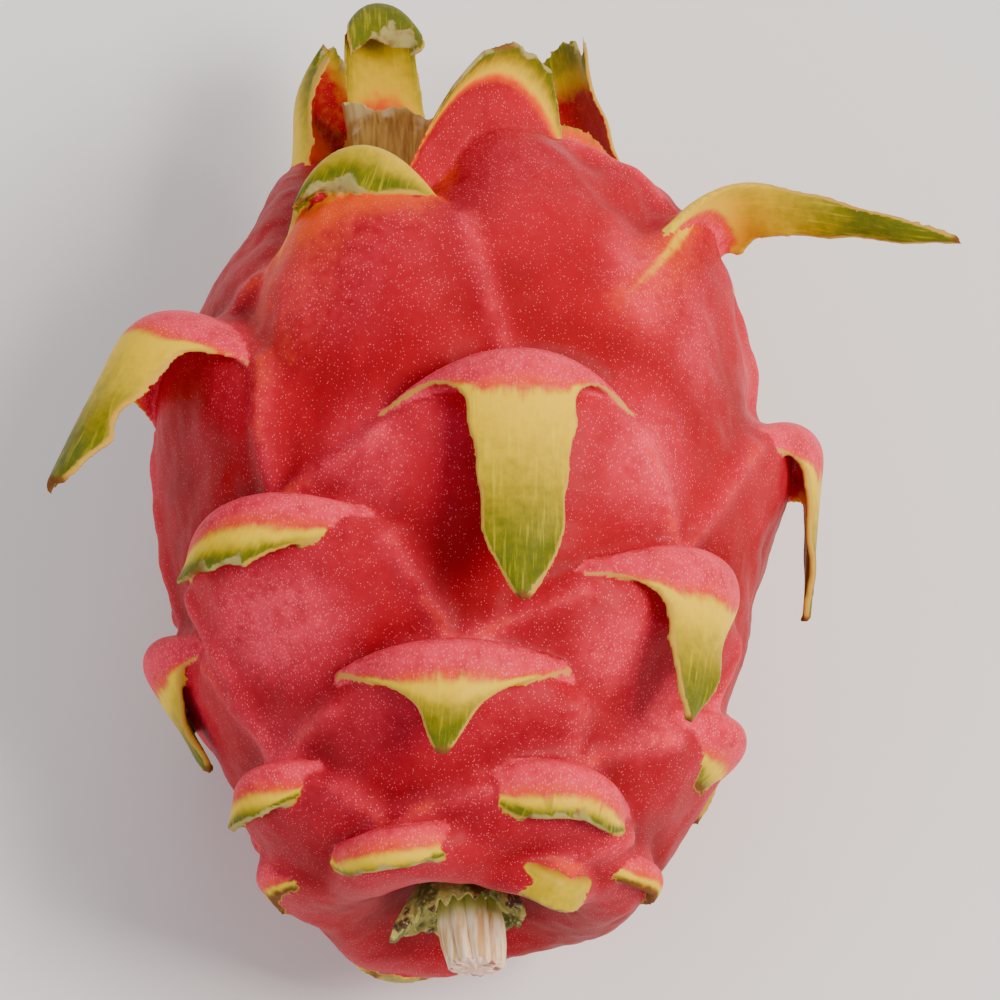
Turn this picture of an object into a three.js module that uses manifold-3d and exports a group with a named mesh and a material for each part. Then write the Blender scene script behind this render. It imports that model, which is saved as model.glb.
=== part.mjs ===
// A whole dragon fruit (pitaya) lying on its side, in millimetres, with +Z up.
// Its long axis lies along Y: the broken stem points to -Y and the crown of upright bracts to +Y.
// The skin carries leathery scales in a spiral. Each scale swells out of the skin below it, stands
// clear along a curved crest, and bends back towards the stem as a wide-shouldered green tongue.
// Three solids: the fruit with its scales and crown bracts, the broken stem, and the dry flower tube.

import * as THREE from "three";
import { mergeVertices } from "three/addons/utils/BufferGeometryUtils.js";
import Module from "manifold-3d";

// Where the fruit lies
const AXIS_HEIGHT = 42.6; // from the table to the long axis: what would go lower is cut off flat
const CENTRE_X = 5.98; // middle of the whole outline, from the long axis
const CENTRE_Y = 14.9; // middle of the whole outline, from the widest girth
const DEG = Math.PI / 180;

// The skin: radius and place along Y of points on half of its long section, from stem to crown
const SECTION = [
  [0, -49],
  [8, -49.5],
  [13.5, -52.5],
  [19, -54],
  [24.5, -51.5],
  [28, -46],
  [31.2, -38],
  [36.3, -26],
  [40.3, -14],
  [42.8, 0],
  [43.3, 12],
  [42, 24],
  [38.8, 36],
  [33.3, 46],
  [28.2, 52],
  [22, 56.5],
  [15.5, 59.5],
  [11, 62.5],
  [9.6, 64.6],
  [5, 64.2],
  [0, 64],
];
const SKIN_COLUMNS = 60;
const SKIN_ROWS = 50;
const SECTION_STEPS = 400;
const CROWN_LEAN = -9; // the crown sits off the long axis, towards -X
const LEAN_FROM = 47;
const LEAN_TO = 63;

// Relief of the skin
const AXIL_FALL = 2.4; // how fast the skin drops behind a crest
const AXIL_OFFSET = 1; // the middle of the fold lies this much more than its half length behind it
const RIDGE_HEIGHT = 0.9; // the soft ridge from a scale's shoulder to the next crest below
const RIDGE_REACH = 2.2;
const RIDGE_LONGEST = 34;
const RIDGE_DROP = 5; // the next crest lies at least this far below the shoulder
const CALM_FROM = 2; // the relief fades in over this stretch from either end of the section
const CALM_TO = 16;

// A scale's blade
const BLADE_STEPS = [0, 0.07, 0.15, 0.24, 0.35, 0.55, 0.8, 0.95, 1];
const SHORT_BLADE_STEPS = [0, 0.25, 0.5, 0.78, 1];
const SHORT_BLADE = 13;
const BLADE_COLUMNS = 5;
const SIMPLIFIED = 0.34; // the joined fruit keeps within this of the shapes above
const SPINE_STEPS = 48;
const ROOT_DEPTH = 4;
const ROOT_NARROWING = 0.92;
const ROOT_DIP = 1; // how far the sunk root leans in below the smooth skin
const ROOT_FADE = 4.5; // length over which the thick root thins down to the tongue
const FOLD = 4.5; // length over which the blade keeps its full width, round the fold
const SHOULDER_FALL = 4.3; // how quickly the shoulders then narrow to the tongue
const SHOULDER_RISE = 8; // how much of the blade's height its shoulders lose at most
const SHOULDER_SINK = 0.8; // and how much deeper they then end, under the skin
const TONGUE_THICKNESS = 1.9;
const TIP_THICKNESS = 1.2;
const MARGIN_THICKNESS = 0.8;
const FLOOR_GAP = 0.02;
const TWIST_FROM = 0.05; // a twisted blade turns over this part of its length
const TWIST_TO = 0.4;

// The spiral that the scales follow, and those of it that lie out of sight
const GOLDEN_ANGLE = 137.5;
const SPIRAL_ANGLE = 9;
const SPIRAL_PLACES = [
  [-9, 58],
  [-6, 48],
  [-4, 36],
  [-1, 21],
  [1, 8],
  [4, -5],
  [7, -18],
  [9, -28],
  [12, -39],
];
const SPIRAL_SEED = 7;

// Solids that touch keep this much clear
const CLEARANCE = 0.3;

const USUAL_SCALE = {
  width: 32, // across the shoulders
  right: 1, // share of its width that its shoulder towards +angle keeps
  arch: 6, // how far the shoulders lie below the middle of the crest
  skew: 0, // slope of the crest, rising towards +angle
  crest: 4, // height of the crest over the skin
  pad: 22, // length of the swelling below the crest
  axil: 1.1, // depth of the fold behind the crest
  gap: 3.2, // half the length of that fold
  length: 20,
  tongue: 11, // width of the tongue
  cut: 1, // width of its end: about 1 for a point, more for a torn end
  point: 2.4, // how late it narrows
  from: 40, // direction at the root: 0 is towards the crown, 90 straight out
  to: 178, // direction at the end: 180 is back towards the stem
  bend: [0, 0.35], // the part of its length over which it turns
  drift: 0, // how far the end lies to the side
  slant: 0, // slope of its end, rising towards +angle
  cup: 0, // how far the edges lie outside the middle
  twist: 0, // how far it turns about its own spine, in degrees
  fold: FOLD,
  shoulder: SHOULDER_FALL,
};

// The scales that can be told apart from one side, from the crown down to the stem
const SEEN_SCALES = [
  { y: 54, angle: 12, width: 25, arch: 5, crest: 4.5, pad: 34, length: 14, tongue: 19, cut: 15, point: 4,
    from: 14, to: 62, bend: [0.35, 1], drift: 3, skew: 0.35, slant: 0.75, fold: 9, shoulder: 6, gap: 4 },
  { y: 43.5, angle: -22, width: 27, arch: 9, crest: 6.5, pad: 34, length: 10, tongue: 16, cut: 10, from: 15,
    to: 165, bend: [0.05, 0.7], drift: -3, skew: 0.1, fold: 3, axil: 8, gap: 17 },
  { y: 55.5, angle: 58, width: 27, arch: 3, crest: 4, pad: 26, length: 5, tongue: 20, cut: 16, from: 10,
    to: 30, skew: -0.45, slant: -0.45 },
  { y: 44, angle: 65, width: 30, right: 0.35, arch: 9, pad: 26, length: 40.6, tongue: 6.5, cut: 1.5, point: 2.6,
    from: 52, to: 105, bend: [0, 0.3], cup: -0.8, fold: 6, shoulder: 4, twist: 58, drift: 8 },
  { y: 26.5, angle: -62, width: 32, arch: 9, pad: 26, length: 40, tongue: 14, cut: 9.5, point: 4, from: 68,
    to: 154, bend: [0, 0.38], drift: 0.5, cup: 1, fold: 7, shoulder: 6 },
  { y: 17, angle: 89, width: 32, arch: 6, crest: 4.5, length: 33, tongue: 10, from: 60, to: 184,
    bend: [0, 0.28] },
  { y: 10.2, angle: 9, width: 38, arch: 5.5, skew: 0.05, crest: 4, pad: 25, length: 45, tongue: 15, cut: 1.4,
    point: 2.6, to: 179, bend: [0, 0.28], drift: 0 },
  { y: -5.5, angle: -40, width: 38, arch: 6, crest: 4.5, length: 14, tongue: 17, cut: 11, point: 3,
    from: 50, to: 172, drift: -6, bend: [0, 0.5] },
  { y: -11.5, angle: 47.5, width: 33, arch: 6, length: 30, tongue: 11.5, cut: 1.4, from: 55, to: 182,
    bend: [0, 0.25], drift: -4.5 },
  { y: -15, angle: -87, width: 28, crest: 3, length: 24, tongue: 9, from: 62, to: 210, bend: [0, 0.3] },
  { y: -28, angle: -2, width: 37, arch: 5, crest: 4.5, length: 20, tongue: 16, cut: 1.2, point: 1.1,
    to: 184, bend: [0, 0.35], drift: -1.5 },
  { y: -28.5, angle: 78, width: 26, arch: 5, crest: 4, length: 13, tongue: 9, cut: 3, from: 60, to: 222,
    bend: [0, 0.4] },
  { y: -39, angle: -57, width: 24, arch: 4, crest: 4, pad: 16, length: 9, tongue: 9, cut: 6, point: 4,
    from: 60, to: 180, drift: -3, bend: [0, 0.5] },
  { y: -42, angle: 29, width: 26, arch: 4, skew: -0.12, crest: 4, pad: 16, length: 9, tongue: 15,
    cut: 10, point: 4, from: 70, to: 195, bend: [0, 0.5] },
  { y: -48, angle: -84, width: 15, arch: 3, crest: 2.4, pad: 12, length: 5, tongue: 6, from: 90, to: 215 },
  { y: -49, angle: 72, width: 17, arch: 3, crest: 1.8, pad: 14, length: 5, tongue: 7, from: 110, to: 215,
    bend: [0, 0.8] },
  { y: -50, angle: -23, width: 22, arch: 3, skew: 0.1, crest: 4, pad: 12, length: 7, tongue: 13, cut: 9,
    point: 4, from: 80, to: 200, bend: [0, 0.7] },
  { y: -53, angle: 36, width: 15, arch: 2, crest: 4.2, pad: 8, length: 5, tongue: 11, cut: 8, from: 120,
    to: 205 },
  { y: -51.5, angle: 203, width: 24, arch: 2, crest: 4, pad: 10, length: 4, tongue: 12, cut: 8, from: 130,
    to: 190 },
];

// Bracts of the crown, rooted round the dry flower tube
const CROWN_BRACTS = [
  { y: 62.4, angle: 192, width: 15, length: 39.5, tongue: 12, cut: 11, point: 3, from: 8, to: -165,
    bend: [0.58, 0.9], cup: 0.8, drift: 2 },
  { y: 60.5, angle: -112, width: 22, length: 22, tongue: 17, cut: 6, point: 2.6, from: 16, to: -34,
    bend: [0.1, 0.9], cup: -2.4, drift: 2.5 },
  { y: 53, angle: 132, width: 42, arch: 5, length: 36, tongue: 8.5, cut: 10, point: 3, from: 6,
    to: -16, bend: [0.1, 0.8], cup: -1.5, fold: 6, shoulder: 7.5, drift: 1 },
  { y: 58, angle: -150, width: 20, length: 18, tongue: 11, cut: 1.5, from: 20, to: 60, bend: [0.3, 1],
    cup: -1 },
];
const USUAL_BRACT = { arch: 3, crest: 3.4, pad: 12, fold: 4, shoulder: 6 };

// The broken stem: radius and place along Y of its rings, from its root out
const STEM_RINGS = [
  [5.5, -45.5],
  [6.6, -49.4],
  [8.4, -52.2],
  [8.7, -54.6],
  [6.6, -55.6],
  [5.0, -56.2],
  [4.6, -59.5],
  [4.1, -62],
];
const STEM_SIDES = 18;
const STEM_SAG = 1.6; // how far its end points up from the long axis
const STEM_DRIFT = 1.4; // and to +X
const STEM_RAGGED = 0.09;

// The dry flower tube in the crown
const TUBE_RADIUS = 7.6;
const TUBE_FLARE = 0.8;
const TUBE_WALL = 1.3;
const TUBE_RIM_LOSS = 0.2; // the wall is this much thinner at its rim
const TUBE_FOOT = 52;
const TUBE_FLOOR = 64.2;
const TUBE_RIM = 68.5;
const TUBE_SIDES = 24;
const TUBE_X = -10;
const TUBE_HIGH_SIDE = -120; // the torn rim stands highest at this angle
const TUBE_SLANT = 2.6;
const TUBE_RAGGED = 0.5;

// In front of the tube the skin is scooped out, so that its wall stands free
const SCOOP_X = -10;
const SCOOP_HALF = 8.5; // half its width
const SCOOP_FOOT = 57; // how high its floor lies beside the tube
const SCOOP_FALL = 0.36; // how fast the floor then drops towards the front
const SCOOP_RISE = 7; // how far the floor has risen at its sides

const wasm = await Module();
wasm.setup();

function seededDraws(seed) {
  let state = seed >>> 0;
  return () => {
    state = (Math.imul(state, 1664525) + 1013904223) >>> 0;
    return state / 4294967296;
  };
}

function smoothStep(low, high, value) {
  const t = Math.min(1, Math.max(0, (value - low) / (high - low)));
  return t * t * (3 - 2 * t);
}

function turnBetween(angle, centre) {
  const turn = (angle - centre) / (2 * Math.PI);
  return (turn - Math.round(turn)) * 2 * Math.PI;
}

// The long section as points at even steps of arc length, each with its unit tangent
function sectionTable() {
  const curve = new THREE.SplineCurve(SECTION.map(([r, y]) => new THREE.Vector2(r, y)));
  curve.arcLengthDivisions = SECTION_STEPS * 4;
  const points = curve.getSpacedPoints(SECTION_STEPS);
  const length = curve.getLength();
  return { points, length, step: length / SECTION_STEPS };
}
const section = sectionTable();

function sectionAt(along) {
  const place = Math.min(SECTION_STEPS - 1e-6, Math.max(0, along / section.step));
  const index = Math.floor(place);
  const before = section.points[index];
  const after = section.points[index + 1];
  const share = place - index;
  const tangent = after.clone().sub(before).normalize();
  return {
    radius: before.x + (after.x - before.x) * share,
    y: before.y + (after.y - before.y) * share,
    tangent,
  };
}

// Arc length of the outer skin at a place along Y
function alongOf(y) {
  const rim = SECTION_STEPS * 0.1;
  for (let i = Math.floor(rim); i < SECTION_STEPS; i += 1) {
    const before = section.points[i].y;
    const after = section.points[i + 1].y;
    if (before <= y && after > y) return (i + (y - before) / (after - before)) * section.step;
  }
  return section.length;
}

function leanAt(y) {
  return CROWN_LEAN * smoothStep(LEAN_FROM, LEAN_TO, y);
}

// A place on the smooth skin with its own directions: out, to the crown, and across
function skinFrame(along, angle) {
  const { radius, y, tangent } = sectionAt(along);
  const sin = Math.sin(angle);
  const cos = Math.cos(angle);
  return {
    radius,
    origin: new THREE.Vector3(radius * sin + leanAt(y), y, radius * cos + AXIS_HEIGHT),
    out: new THREE.Vector3(tangent.y * sin, -tangent.x, tangent.y * cos),
    up: new THREE.Vector3(tangent.x * sin, tangent.y, tangent.x * cos),
    across: new THREE.Vector3(cos, 0, -sin),
  };
}

function placedScale(given, usual = USUAL_SCALE) {
  const scale = { ...USUAL_SCALE, ...usual, ...given };
  scale.angle *= DEG;
  scale.along = alongOf(scale.y);
  scale.bow = (4 * scale.arch) / scale.width ** 2;
  return scale;
}

// Scales on the far side, placed by the same spiral as the near ones
function hiddenScales() {
  const draw = seededDraws(SPIRAL_SEED);
  const between = (low, high) => low + (high - low) * draw();
  return SPIRAL_PLACES.map(([turn, y]) => {
    const size = smoothStep(-60, -10, y);
    const angle = SPIRAL_ANGLE - GOLDEN_ANGLE * turn + between(-4, 4);
    const under = Math.max(0, -Math.cos(angle * DEG));
    return placedScale({
      y,
      angle,
      width: 20 + 12 * size + between(-2, 2),
      crest: 4,
      pad: 14 + 8 * size,
      length: (8 + 14 * size + between(0, 6)) * (1 - 0.35 * under),
      tongue: 8 + 3 * size + between(-1, 1.5),
      cut: draw() < 0.4 ? 5 : 1.3,
      from: 60,
      to: 196 + between(-4, 6) - 1.1 * Math.max(0, y - 20),
      bend: [0, 0.35],
      drift: between(-3, 3),
    });
  });
}

const skinScales = [...SEEN_SCALES.map((given) => placedScale(given)), ...hiddenScales()];
const crownBracts = CROWN_BRACTS.map((given) => placedScale(given, USUAL_BRACT));

// Place on the skin of one shoulder of a scale
function shoulderOf(scale, side) {
  const x = (side * scale.width) / 2;
  const { radius } = sectionAt(scale.along);
  return {
    along: scale.along - scale.arch + scale.skew * x,
    angle: scale.angle + x / radius,
  };
}

// A soft ridge runs from each shoulder down to the nearest crest below on that side
function ridgesOf(scales) {
  const ridges = [];
  for (const scale of scales) {
    for (const side of [-1, 1]) {
      const start = shoulderOf(scale, side);
      let best = null;
      let least = RIDGE_LONGEST;
      for (const other of scales) {
        const drop = start.along - other.along;
        const { radius } = sectionAt(other.along);
        const x = radius * turnBetween(other.angle, start.angle);
        const reach = Math.hypot(drop, x);
        const sameSide = side * turnBetween(other.angle, scale.angle) > 0;
        if (other !== scale && drop > RIDGE_DROP && sameSide && reach < least) {
          best = other;
          least = reach;
        }
      }
      if (best) ridges.push({ start, end: { along: best.along + 2, angle: best.angle } });
    }
  }
  return ridges;
}
const ridges = ridgesOf(skinScales);

function ridgeHeight(ridge, along, angle, radius) {
  const x = radius * turnBetween(angle, ridge.start.angle);
  const y = along - ridge.start.along;
  const endX = radius * turnBetween(ridge.end.angle, ridge.start.angle);
  const endY = ridge.end.along - ridge.start.along;
  const share = Math.min(1, Math.max(0, (x * endX + y * endY) / (endX * endX + endY * endY)));
  const away = Math.hypot(x - share * endX, y - share * endY);
  return RIDGE_HEIGHT * Math.exp(-((away / RIDGE_REACH) ** 2));
}

// How far the skin stands out of its smooth section
function relief(along, angle, radius) {
  let swelling = 0;
  let hollow = 0;
  for (const scale of [...skinScales, ...crownBracts]) {
    const x = radius * turnBetween(angle, scale.angle);
    const y = along - scale.along + scale.bow * x * x - scale.skew * x;
    if (y < -scale.pad || y > 4 * scale.gap) continue;
    const width = x > 0 ? scale.width * scale.right : scale.width;
    const sideways = Math.exp(-(Math.abs((2 * x) / width) ** 3));
    const rise = y < 0 ? smoothStep(-scale.pad, 0, y) : Math.exp(-((y / AXIL_FALL) ** 2));
    swelling += (scale.crest * sideways * rise) ** 3;
    hollow += scale.axil * sideways * Math.exp(-(((y - scale.gap - AXIL_OFFSET) / scale.gap) ** 2));
  }
  let ridge = 0;
  for (const each of ridges) ridge = Math.max(ridge, ridgeHeight(each, along, angle, radius));
  const calm =
    smoothStep(CALM_FROM, CALM_TO, along) * smoothStep(CALM_FROM, CALM_TO, section.length - along);
  return (Math.cbrt(swelling) - hollow + ridge) * calm;
}

// Lowers a place on the skin to the floor of the scoop, if it is in it
function scooped(point) {
  const ahead = point.z - AXIS_HEIGHT;
  const aside = (point.x - SCOOP_X) / SCOOP_HALF;
  const floor = SCOOP_FOOT - SCOOP_FALL * (ahead - TUBE_RADIUS) + SCOOP_RISE * aside ** 4;
  if (ahead > 0) point.y = Math.min(point.y, floor);
  return point;
}

function signedVolume(points, index) {
  let total = 0;
  for (let i = 0; i < index.length; i += 3) {
    const [a, b, c] = [points[index[i]], points[index[i + 1]], points[index[i + 2]]];
    total += a.dot(b.clone().cross(c)) / 6;
  }
  return total;
}

// A closed mesh from rings of points, each ring the same length, with a fan at each end.
// Its faces are turned outwards whichever way the rings run.
function closedRings(rings) {
  const sides = rings[0].length;
  const points = rings.flat();
  const index = [];
  for (let i = 0; i + 1 < rings.length; i += 1) {
    for (let j = 0; j < sides; j += 1) {
      const a = i * sides + j;
      const b = i * sides + ((j + 1) % sides);
      index.push(a, b, b + sides, a, b + sides, a + sides);
    }
  }
  const middle = (ring) => ring.reduce((sum, p) => sum.add(p), new THREE.Vector3()).divideScalar(sides);
  const first = points.push(middle(rings[0])) - 1;
  const last = points.push(middle(rings[rings.length - 1])) - 1;
  const lastRing = (rings.length - 1) * sides;
  for (let j = 0; j < sides; j += 1) {
    const next = (j + 1) % sides;
    index.push(first, next, j);
    index.push(last, lastRing + j, lastRing + next);
  }
  if (signedVolume(points, index) < 0) index.reverse();
  const geometry = new THREE.BufferGeometry().setFromPoints(points);
  geometry.setIndex(index);
  return geometry;
}

function skinGeometry() {
  const rings = [];
  for (let i = 1; i < SKIN_ROWS; i += 1) {
    const along = (section.length * i) / SKIN_ROWS;
    const ring = [];
    for (let j = 0; j < SKIN_COLUMNS; j += 1) {
      const angle = (2 * Math.PI * j) / SKIN_COLUMNS;
      const frame = skinFrame(along, angle);
      ring.push(scooped(frame.origin.addScaledVector(frame.out, relief(along, angle, frame.radius))));
    }
    rings.push(ring);
  }
  return closedRings(rings);
}

// Points along a scale's bent spine, with the direction at each and the height over the skin
function spineOf(scale, frame) {
  const radial = new THREE.Vector3(Math.sin(scale.angle), 0, Math.cos(scale.angle));
  const point = frame.origin.clone().addScaledVector(frame.out, scale.crest / 2);
  const step = scale.length / SPINE_STEPS;
  const spine = [];
  for (let i = 0; i <= SPINE_STEPS; i += 1) {
    const turned = smoothStep(scale.bend[0], scale.bend[1], (i + 0.5) / SPINE_STEPS);
    const slope = (scale.from + (scale.to - scale.from) * turned) * DEG;
    const heading = radial.clone().multiplyScalar(Math.sin(slope));
    heading.y = Math.cos(slope);
    const height = Math.max(0, point.clone().sub(frame.origin).dot(frame.out));
    spine.push({ point: point.clone(), heading, height });
    point.addScaledVector(heading, step);
  }
  return spine;
}

// From the spine to one edge of the blade, on the side that x lies
function halfWidth(scale, share, x) {
  const past = Math.max(0, share * scale.length - scale.fold);
  const tongue = scale.cut + (scale.tongue - scale.cut) * (1 - share ** scale.point);
  const shoulders = (scale.width - scale.tongue) * Math.exp(-past / scale.shoulder);
  return (tongue + shoulders * (x > 0 ? scale.right : 1)) / 2;
}

// The directions across a blade and out of it, where it heads that way
function bladeAxes(scale, frame, heading, share) {
  const outer = frame.across.clone().cross(heading);
  const turn = scale.twist * DEG * smoothStep(TWIST_FROM, TWIST_TO, share);
  const [cos, sin] = [Math.cos(turn), Math.sin(turn)];
  return {
    across: frame.across.clone().multiplyScalar(cos).addScaledVector(outer, sin),
    outer: outer.clone().multiplyScalar(cos).addScaledVector(frame.across, -sin),
  };
}

// A point on the middle of a scale's blade, x across and share of the way to its end.
// Towards its shoulders the blade comes down to the skin, so that they run out in it.
function bladePoint(scale, frame, spine, x, share) {
  const { point, heading, height } = spine[Math.round(share * SPINE_STEPS)];
  const { across, outer } = bladeAxes(scale, frame, heading, share);
  const edge = Math.min(1, Math.abs(x) / halfWidth(scale, share, x));
  const aside = Math.min(1, Math.abs((2 * x) / scale.width));
  const sinking = (Math.min(height, SHOULDER_RISE) + SHOULDER_SINK) * aside ** 2.2;
  return point
    .clone()
    .addScaledVector(across, x)
    .addScaledVector(frame.across, scale.drift * share ** 1.5)
    .addScaledVector(frame.out, -(x * x) / (2 * Math.max(frame.radius, 12)) - sinking)
    .addScaledVector(frame.up, -scale.bow * x * x + (scale.skew * (1 - share) + scale.slant * share) * x)
    .addScaledVector(outer, scale.cup * edge * edge * smoothStep(0.1, 0.5, share));
}

function thicknessAt(scale, x, share) {
  const away = share * scale.length;
  const root = (scale.crest - TONGUE_THICKNESS) * Math.exp(-away / ROOT_FADE);
  const full = TIP_THICKNESS + (TONGUE_THICKNESS - TIP_THICKNESS) * (1 - share) + Math.max(0, root);
  const edge = Math.min(1, Math.abs(x) / halfWidth(scale, share, x));
  return MARGIN_THICKNESS + (full - MARGIN_THICKNESS) * Math.sqrt(Math.max(0, 1 - edge ** 2.5));
}

// A scale's blade: rings of points round it, from its sunk root to its end
function bladeGeometry(scale) {
  const frame = skinFrame(scale.along, scale.angle);
  const spine = spineOf(scale, frame);
  const rings = [];
  for (const share of scale.length < SHORT_BLADE ? SHORT_BLADE_STEPS : BLADE_STEPS) {
    const heading = spine[Math.round(share * SPINE_STEPS)].heading;
    const { outer } = bladeAxes(scale, frame, heading, share);
    const upper = [];
    const lower = [];
    for (let j = 0; j < BLADE_COLUMNS; j += 1) {
      const side = (2 * j) / (BLADE_COLUMNS - 1) - 1;
      const x = side * halfWidth(scale, share, side);
      const middle = bladePoint(scale, frame, spine, x, share);
      const reach = thicknessAt(scale, x, share) / 2;
      middle.z = Math.max(middle.z, reach + FLOOR_GAP);
      upper.push(middle.clone().addScaledVector(outer, reach));
      lower.unshift(middle.clone().addScaledVector(outer, -reach));
    }
    rings.push([...upper, ...lower]);
  }
  const root = rings[0].map((point) => {
    const inward = point.clone().sub(spine[0].point);
    const x = inward.dot(frame.across);
    return point
      .clone()
      .addScaledVector(frame.across, -x * (1 - ROOT_NARROWING))
      .addScaledVector(spine[0].heading, -ROOT_DEPTH)
      .addScaledVector(frame.out, -ROOT_DIP);
  });
  return closedRings([root, ...rings]);
}

function solidOf(geometry) {
  geometry.deleteAttribute("normal");
  geometry.deleteAttribute("uv");
  const merged = mergeVertices(geometry, 1e-4);
  const mesh = new wasm.Mesh({
    numProp: 3,
    vertProperties: new Float32Array(merged.attributes.position.array),
    triVerts: new Uint32Array(merged.index.array),
  });
  return new wasm.Manifold(mesh);
}

function geometryOf(solid) {
  const mesh = solid.getMesh();
  const positions = new Float32Array(mesh.numVert * 3);
  for (let i = 0; i < mesh.numVert; i += 1) {
    positions.set(mesh.vertProperties.subarray(i * mesh.numProp, i * mesh.numProp + 3), i * 3);
  }
  const geometry = new THREE.BufferGeometry();
  geometry.setAttribute("position", new THREE.BufferAttribute(positions, 3));
  geometry.setIndex(new THREE.BufferAttribute(mesh.triVerts, 1));
  geometry.computeVertexNormals();
  return geometry;
}

// The broken stem; grown larger all round where it is used to cut its own seat
function stemGeometry(grown = 0) {
  const [rootY, endY] = [STEM_RINGS[0][1], STEM_RINGS[STEM_RINGS.length - 1][1]];
  const rings = STEM_RINGS.map(([radius, y], i) => {
    const lift = STEM_SAG * ((y - rootY) / (endY - rootY)) ** 2;
    const ring = [];
    for (let j = 0; j < STEM_SIDES; j += 1) {
      const angle = (2 * Math.PI * j) / STEM_SIDES;
      const lobes = Math.sin(3 * angle + i) + Math.sin(7 * angle + 2 * i) / 2;
      const reach = radius * (1 + STEM_RAGGED * lobes) + grown;
      const y2 = y + (i === 0 ? grown : 0);
      const x = (STEM_DRIFT * lift) / STEM_SAG + reach * Math.sin(angle);
      ring.push(new THREE.Vector3(x, y2, AXIS_HEIGHT + lift + reach * Math.cos(angle)));
    }
    return ring;
  });
  return closedRings(rings);
}

function tubeRing(radius, y) {
  const ring = [];
  for (let j = 0; j < TUBE_SIDES; j += 1) {
    const angle = (2 * Math.PI * j) / TUBE_SIDES;
    const height = typeof y === "function" ? y(angle) : y;
    const x = TUBE_X + radius * Math.sin(angle);
    ring.push(new THREE.Vector3(x, height, AXIS_HEIGHT + radius * Math.cos(angle)));
  }
  return ring;
}

function tornRim(angle) {
  const slant = TUBE_SLANT * Math.cos(angle - TUBE_HIGH_SIDE * DEG);
  return TUBE_RIM + slant + TUBE_RAGGED * Math.sin(5 * angle) + TUBE_RAGGED * Math.sin(8 * angle + 1);
}

function tubeGeometry() {
  const inner = TUBE_RADIUS - TUBE_WALL;
  return closedRings([
    tubeRing(TUBE_RADIUS - TUBE_FLARE, TUBE_FOOT),
    tubeRing(TUBE_RADIUS - TUBE_FLARE / 2, TUBE_FLOOR),
    tubeRing(TUBE_RADIUS + TUBE_FLARE / 2, tornRim),
    tubeRing(inner + TUBE_FLARE / 2 + TUBE_RIM_LOSS, tornRim),
    tubeRing(inner - TUBE_FLARE / 2, TUBE_FLOOR),
  ]);
}

// The seat of the tube: its outside as a plug, grown by the clearance
function tubeSeatGeometry() {
  return closedRings([
    tubeRing(TUBE_RADIUS - TUBE_FLARE + CLEARANCE, TUBE_FOOT - CLEARANCE),
    tubeRing(TUBE_RADIUS - TUBE_FLARE / 2 + CLEARANCE, TUBE_FLOOR),
    tubeRing(TUBE_RADIUS + TUBE_FLARE / 2 + CLEARANCE, (angle) => tornRim(angle) + CLEARANCE),
  ]);
}

function fruitSolid() {
  let fruit = solidOf(skinGeometry());
  for (const scale of skinScales) fruit = fruit.add(solidOf(bladeGeometry(scale)));
  for (const bract of crownBracts) fruit = fruit.add(solidOf(bladeGeometry(bract)));
  fruit = fruit.subtract(solidOf(stemGeometry(CLEARANCE)));
  fruit = fruit.subtract(solidOf(tubeSeatGeometry()));
  const bodies = fruit.simplify(SIMPLIFIED).trimByPlane([0, 0, 1], 0).decompose();
  return bodies.sort((a, b) => b.volume() - a.volume())[0];
}

function named(name, geometry, material) {
  const mesh = new THREE.Mesh(geometry, material);
  mesh.name = name;
  mesh.position.set(-CENTRE_X, -CENTRE_Y, 0);
  return mesh;
}

const redSkin = new THREE.MeshStandardMaterial({ color: "#c9202f", roughness: 0.45, metalness: 0 });
const paleWood = new THREE.MeshStandardMaterial({ color: "#b9a878", roughness: 0.85, metalness: 0 });
const dryTan = new THREE.MeshStandardMaterial({ color: "#b48f62", roughness: 0.8, metalness: 0 });

const dragonFruit = new THREE.Group();
dragonFruit.add(
  named("fruit", geometryOf(fruitSolid()), redSkin),
  named("stem_stub", geometryOf(solidOf(stemGeometry())), paleWood),
  named("flower_tube", geometryOf(solidOf(tubeGeometry())), dryTan),
);

export default dragonFruit;
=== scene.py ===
# %% [markdown]
# # A dragon fruit, from its skin to its dry flower
# The fruit lies on its side on a table, its stem towards the camera and its crown away from it.
# Its solids were made first, as plain faceted shapes. This script dresses them: it makes the same
# shapes again, much finer, and gives them the colour, wax and fibres of the real fruit.

# %% Load the frame
import math

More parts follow.
